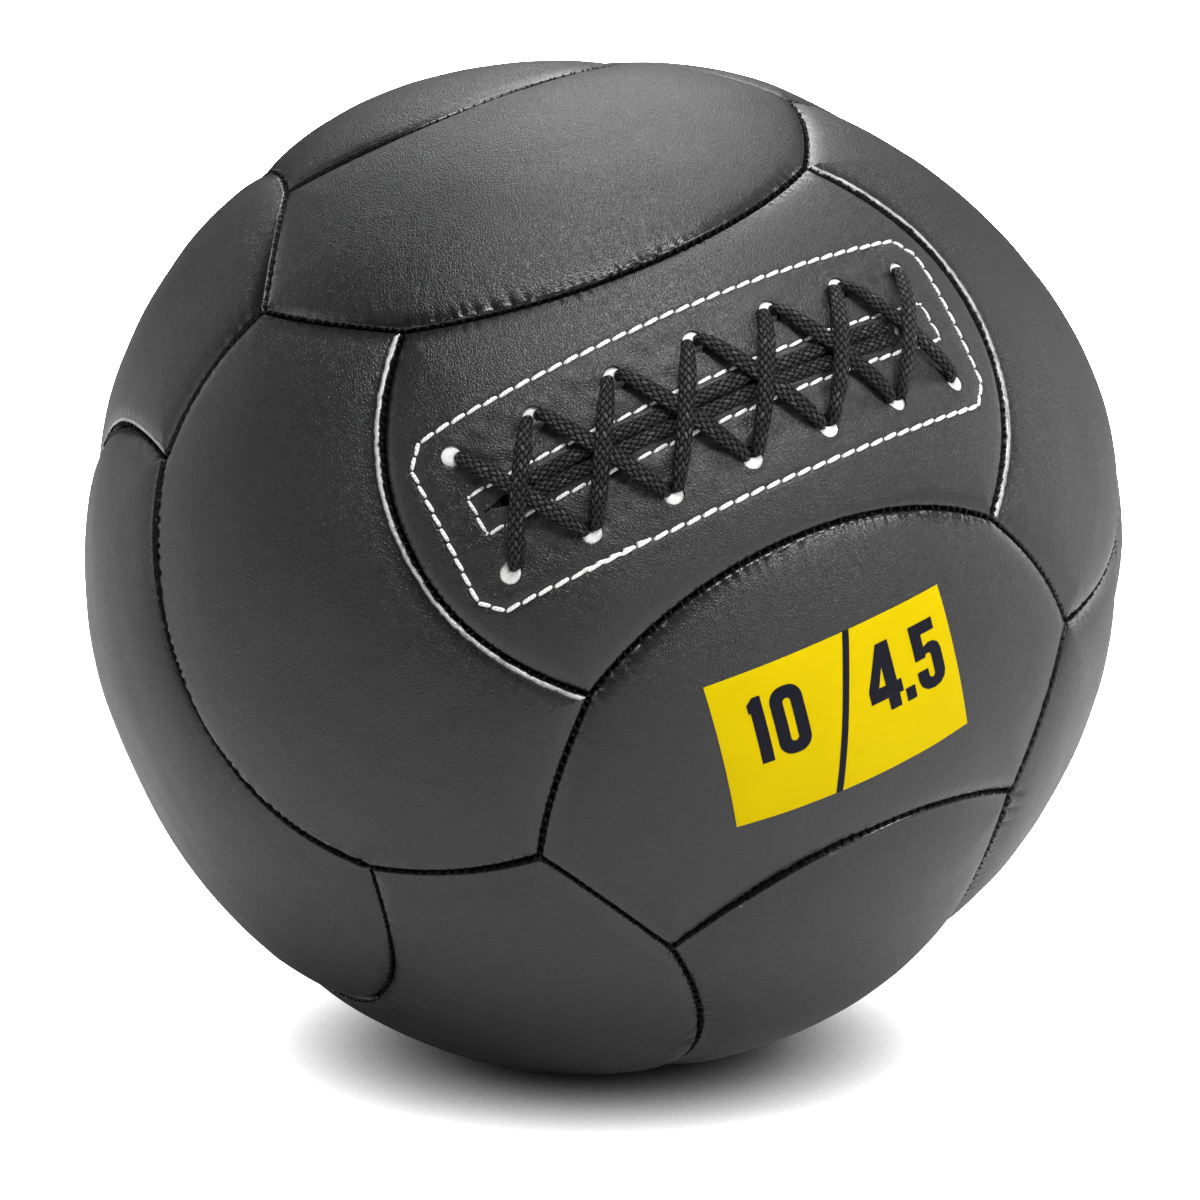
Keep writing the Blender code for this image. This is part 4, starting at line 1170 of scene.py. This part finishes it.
MATERIALS = {
    "leather": leather_material(),
    "lace": lace_material(),
    "thread": thread_material(),
    "seam_thread": seam_thread_material(),
    "white": cloth_material("white_cloth", (0.66, 0.66, 0.65), (0.86, 0.86, 0.85), 0.0009),
    "fibre": cloth_material("grey_fibre", (0.14, 0.14, 0.15), (0.5, 0.5, 0.52), 0.004, 0.001),
    "grey": cloth_material("grey_cloth", (0.1, 0.1, 0.11), (0.3, 0.3, 0.32), 0.0012),
    "yellow": film_material(),
    "figures": figure_material(),
    "grains": grains_material(),
}

# Inside the leather
CASING_RADIUS = 0.1666
CASING = 0.001
CASING_MOUTH = 0.15
CASING_MOUTH_HALF_HEIGHT = 0.0006
CASING_COLUMNS = 232
CASING_DROP = 0.0008
CASING_TOP = 0.0003
CASING_CREASES = ((0.0003, 0.09, 71), (0.0002, 0.03, 72))
GORES = 8
GORE_DENT = 0.0012
GORE_DENT_REACH = 0.006
GORE_SEAM = 0.0019
GORE_SEAM_REACH = 0.0016
PADDING_RADIUS = 0.164
PADDING_SPLIT = 0.0004
PADDING_DROP = 0.0016
PADDING_COLUMNS = 150
HOLLOW_RADIUS = 0.0558
BAG_RADIUS = 0.055
BAG_CLOTH = 0.0007
BAG_NECK = 0.014
BAG_PLEATS = 26
BAG_PLEAT_DEPTH = 0.0011
GRAINS_RADIUS = 0.0536
GRAINS_TOP = 0.0505
GRAINS = 1500
GRAIN_REACH = 0.0036


def round_grid(rises, columns):
    """Directions of a closed grid, row by row at the rises, and the faces between."""
    turn = np.linspace(0, 2 * math.pi, columns, endpoint=False)
    flat, up = np.cos(rises), np.sin(rises)
    directions = np.stack([np.outer(flat, np.cos(turn)), np.outer(flat, np.sin(turn)),
                           np.outer(up, np.ones(columns))], -1)
    return directions.reshape(-1, 3), grid_faces(len(rises), columns, closed=True)


def walled(outer, inner, faces):
    """A cloth's two faces, joined wherever it ends."""
    count = len(outer)
    rims = free_edges(faces, count)
    walls = np.stack([rims[:, 1], rims[:, 0], rims[:, 0] + count, rims[:, 1] + count], -1)
    return np.concatenate([outer, inner]), np.concatenate([faces, faces[:, ::-1] + count, walls])


def make_casing():
    """White cloth gores sewn into a ball, open in a slit under the lacing."""
    half = CASING_MOUTH / 2 / CASING_RADIUS
    near = CASING_MOUTH_HALF_HEIGHT / CASING_RADIUS
    upper = np.concatenate([[near], np.linspace(near * 4, math.pi / 2 - 0.012, 52)])
    directions, faces = round_grid(np.concatenate([-upper[::-1], upper]), CASING_COLUMNS)
    turn = np.arctan2(directions[:, 1], directions[:, 0])
    rise = np.arcsin(directions[:, 2])
    open_here = (np.abs(rise[faces]) < near * 1.5).all(1) & (np.abs(turn[faces]) < half).all(1)
    gore = (turn / (2 * math.pi) * GORES) % 1.0
    beside = (np.abs(gore - 0.5)) / GORES * 2 * math.pi * np.cos(rise) * CASING_RADIUS
    height = GORE_SEAM * hump(beside, GORE_SEAM_REACH) - GORE_DENT * hump(beside, GORE_DENT_REACH)
    height = np.minimum(height - CASING_DROP + uneven(directions, CASING_CREASES), CASING_TOP)
    outer, inner = (directions * (CASING_RADIUS + height - depth)[:, None] for depth in (0, CASING * 0.8))
    points, faces = walled(outer, inner, faces[~open_here])
    piece = new_piece("casing_cloth", in_world(points), faces, "white")
    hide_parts("casing")


def make_padding():
    """The fibre filling: two lumpy halves packed round the ballast bag."""
    for name, side in (("upper_padding", 1), ("lower_padding", -1)):
        rises = np.linspace(math.pi / 2 - 0.015, PADDING_SPLIT / PADDING_RADIUS, 44)
        directions = round_grid(rises, PADDING_COLUMNS)[0] * (1, 1, side)
        lumpy = PADDING_DROP - uneven(directions, ((0.0009, 0.2, 81 + side), (0.0005, 0.06, 83 + side)))
        outer = in_world((directions * (PADDING_RADIUS - np.maximum(lumpy, 0))[:, None]) @ TURN)
        shares = np.linspace(0.02, 0.98, 26)[:, None, None]
        flat = (outer[-PADDING_COLUMNS:] - CENTRE) * (1 - shares * (1 - HOLLOW_RADIUS / PADDING_RADIUS))
        flat = flat.reshape(-1, 3)
        flat[:, 2] = side * (PADDING_SPLIT / 2 + 0.0006 * np.abs(waves(flat[:, :2], 0.02, 85 + side)))
        hollow = round_grid(np.linspace(0.004, math.pi / 2 - 0.03, 24), PADDING_COLUMNS)[0]
        dents = 0.0003 + 0.0003 * np.abs(waves(hollow, 0.3, 87 + side))
        hollow = hollow * (1, 1, side) * (HOLLOW_RADIUS + dents)[:, None]
        points = np.concatenate([outer, flat + CENTRE, hollow + CENTRE])
        rows = len(points) // PADDING_COLUMNS
        faces = grid_faces(rows, PADDING_COLUMNS, closed=True)[:, [0, 3, 2, 1]].tolist()
        faces += [cap[::-1] for cap in caps(rows, PADDING_COLUMNS)]
        if side < 0:
            faces = [face[::-1] for face in faces]
        piece = new_piece(name + "_fibre", points, faces, "fibre")
        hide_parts(name)


def make_bag():
    """The cloth bag at the middle, gathered to its neck."""
    neck = math.acos(BAG_NECK / 2 / BAG_RADIUS)
    rises = np.concatenate([np.linspace(-math.pi / 2 + 0.03, 0.9, 34), np.linspace(0.93, neck, 26)])
    directions, faces = round_grid(rises, BAG_PLEATS * 8)
    rise = np.arcsin(directions[:, 2])
    turn = np.arctan2(directions[:, 1], directions[:, 0])
    gathered = np.clip((rise - 0.5) / (neck - 0.5), 0, 1) ** 1.5
    turn += 0.06 * waves(directions[:, :2], 0.7, 91)
    height = -BAG_PLEAT_DEPTH * gathered * (0.5 + 0.5 * np.cos(BAG_PLEATS * turn))
    height -= 0.0001 + 0.00008 * np.abs(waves(directions, 0.25, 92))
    outer, inner = (directions * (BAG_RADIUS + height - depth)[:, None] for depth in (0, BAG_CLOTH))
    points, faces = walled(outer, inner, faces)
    piece = new_piece("ballast_bag_cloth", points + CENTRE, faces, "grey")
    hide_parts("ballast_bag")


def make_grains():
    """The ballast: a heap of round grains, spread evenly over its outside and level at its top."""
    random = np.random.default_rng(93)
    number = np.arange(GRAINS) + 0.5
    rise = np.arcsin(1 - 2 * number / GRAINS) + random.normal(0, 0.012, GRAINS)
    turn = number * math.pi * (1 + math.sqrt(5)) + random.normal(0, 0.02, GRAINS)
    seeds = np.stack([np.cos(rise) * np.cos(turn), np.cos(rise) * np.sin(turn), np.sin(rise)], -1)
    tree = KDTree(GRAINS)
    for place, seed in enumerate(seeds):
        tree.insert(seed, place)
    tree.balance()
    rows, columns = 110, 200
    directions, faces = round_grid(np.linspace(-math.pi / 2 + 0.02, math.pi / 2 - 0.02, rows), columns)
    apart = np.array([tree.find(way)[2] for way in directions]) * GRAINS_RADIUS
    sunk = 0.9 * (GRAIN_REACH - np.sqrt(np.maximum(GRAIN_REACH**2 - apart**2, 0)))
    radius = GRAINS_RADIUS - 0.0001 - sunk
    level = GRAINS_TOP / np.maximum(directions[:, 2], 0.1)
    radius = np.minimum(radius, level + 0.3 * (radius - GRAINS_RADIUS))
    points = directions * radius[:, None] + CENTRE
    faces = faces.tolist() + caps(rows, columns)
    piece = new_piece("ballast_grains", points, faces, "grains")
    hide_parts("ballast")


# Studio: each light's name, place, target, size and power
BALL_MIDDLE = (0, 0, 0.17)
LIGHTS = (
    ("overhead", (0.1, 0.0, 1.7), BALL_MIDDLE, (0.9, 0.7), 9),
    ("behind", (0.0, 1.1, 1.4), BALL_MIDDLE, (1.0, 0.6), 10),
    ("front", (0.2, -0.85, 1.9), BALL_MIDDLE, (0.7, 0.6), 32),
    ("key", (1.15, -0.85, 0.85), BALL_MIDDLE, (0.5, 0.5), 11),
    ("left", (-1.9, -0.1, 0.6), BALL_MIDDLE, (0.5, 1.2), 4.3),
    ("left_behind", (-1.5, 1.3, 0.6), BALL_MIDDLE, (0.5, 1.2), 3.2),
    ("right_behind", (1.7, 1.1, 0.6), BALL_MIDDLE, (0.4, 1.2), 7),
    ("backdrop", (0, 3.6, 2.6), (0, 3.9, 0), (5, 2.5), 45),
)
FLOOR_HALF = 8
FLOOR_DROP = 0.0002


def add_seated(name, data, place, way):
    """A light or camera at a place, looking the way given."""
    seat = bpy.data.objects.new(name, data)
    seat.location = place
    seat.rotation_mode = "QUATERNION"
    seat.rotation_quaternion = way.to_track_quat("-Z", "Y")
    bpy.context.scene.collection.objects.link(seat)
    return seat


def studio_world():
    """White all round to the eye, but lighting the ball weakly, and more from the right."""
    s = Shader(bpy.data.worlds.new("studio"), "Background")
    settings = {"operation": "DOT_PRODUCT"}
    toward = s.add("VectorMath", output=1, settings=settings, i0=s.add("TexCoord"), i1=(1.0, 0.0, 0.3))
    grade = s.mapped(toward, 0.0, 1.0, 0.06, 0.4)
    return s.set(Strength=s.add("Mix", i0=s.add("LightPath"), i2=grade, i3=1.1), Color=(1, 1, 1, 1))


def floor_material():
    """A pale floor: to the camera it glows, exposed to white, with a painted shadow where the ball hides the
    open sky from it; to all other rays a plain diffuse floor.
    """
    s = new_material("pale_floor")
    tint = s.ramp(s.noise(s.place(), 40, 2, 0.5), (0.3, 0.84), (0.7, 0.86))
    # Painted shadow: the floor's glow to the camera is dimmed by how much of the open sky the ball hides.
    open_sky = s.add("AmbientOcclusion", output=1, settings={"samples": 32}, Distance=2.0)
    glow_with_painted_shadow = s.add("Emission", Strength=(open_sky * 2.76) ** 2.4)
    mixed = s.add("MixShader", i0=s.add("LightPath"), i1=s.add("BsdfDiffuse", Color=tint), i2=glow_with_painted_shadow)
    s.put(s.tree.nodes["Material Output"].inputs["Surface"], mixed)
    return s.owner


def make_studio():
    scene = bpy.context.scene
    scene.world = studio_world()
    scene.view_settings.view_transform = "Standard"
    mesh = bpy.data.meshes.new("floor")
    corners = [(x * FLOOR_HALF, y * FLOOR_HALF, 0) for x, y in ((-1, -1), (1, -1), (1, 1), (-1, 1))]
    mesh.from_pydata(corners, [], [(0, 1, 2, 3)])
    mesh.materials.append(floor_material())
    floor = bpy.data.objects.new("floor", mesh)
    floor.location.z = -FLOOR_DROP
    scene.collection.objects.link(floor)
    for name, place, target, size, power in LIGHTS:
        lamp = bpy.data.lights.new(name, "AREA")
        lamp.energy = power
        lamp.shape = "RECTANGLE"
        lamp.size, lamp.size_y = size
        add_seated(name, lamp, place, Vector(target) - Vector(place))


def make_camera():
    tilt = math.radians(CAMERA_ELEVATION)
    back = Vector((0, -math.cos(tilt), math.sin(tilt)))
    camera = bpy.data.cameras.new("camera")
    camera.sensor_width = SENSOR_WIDTH
    camera.lens = FOCAL_PIXELS / FRAME_PIXELS * SENSOR_WIDTH
    camera.shift_x = (FRAME_PIXELS / 2 - CENTRE_PIXEL[0]) / FRAME_PIXELS
    camera.shift_y = -(FRAME_PIXELS / 2 - CENTRE_PIXEL[1]) / FRAME_PIXELS
    bpy.context.scene.camera = add_seated("camera", camera, Vector(CENTRE) + back * CAMERA_DISTANCE, -back)


make_camera()
make_panels()
make_seam_thread()
make_topstitches()
make_patch()
make_lace()
make_labels()
make_figures()
make_casing()
make_padding()
make_bag()
make_grains()
make_studio()
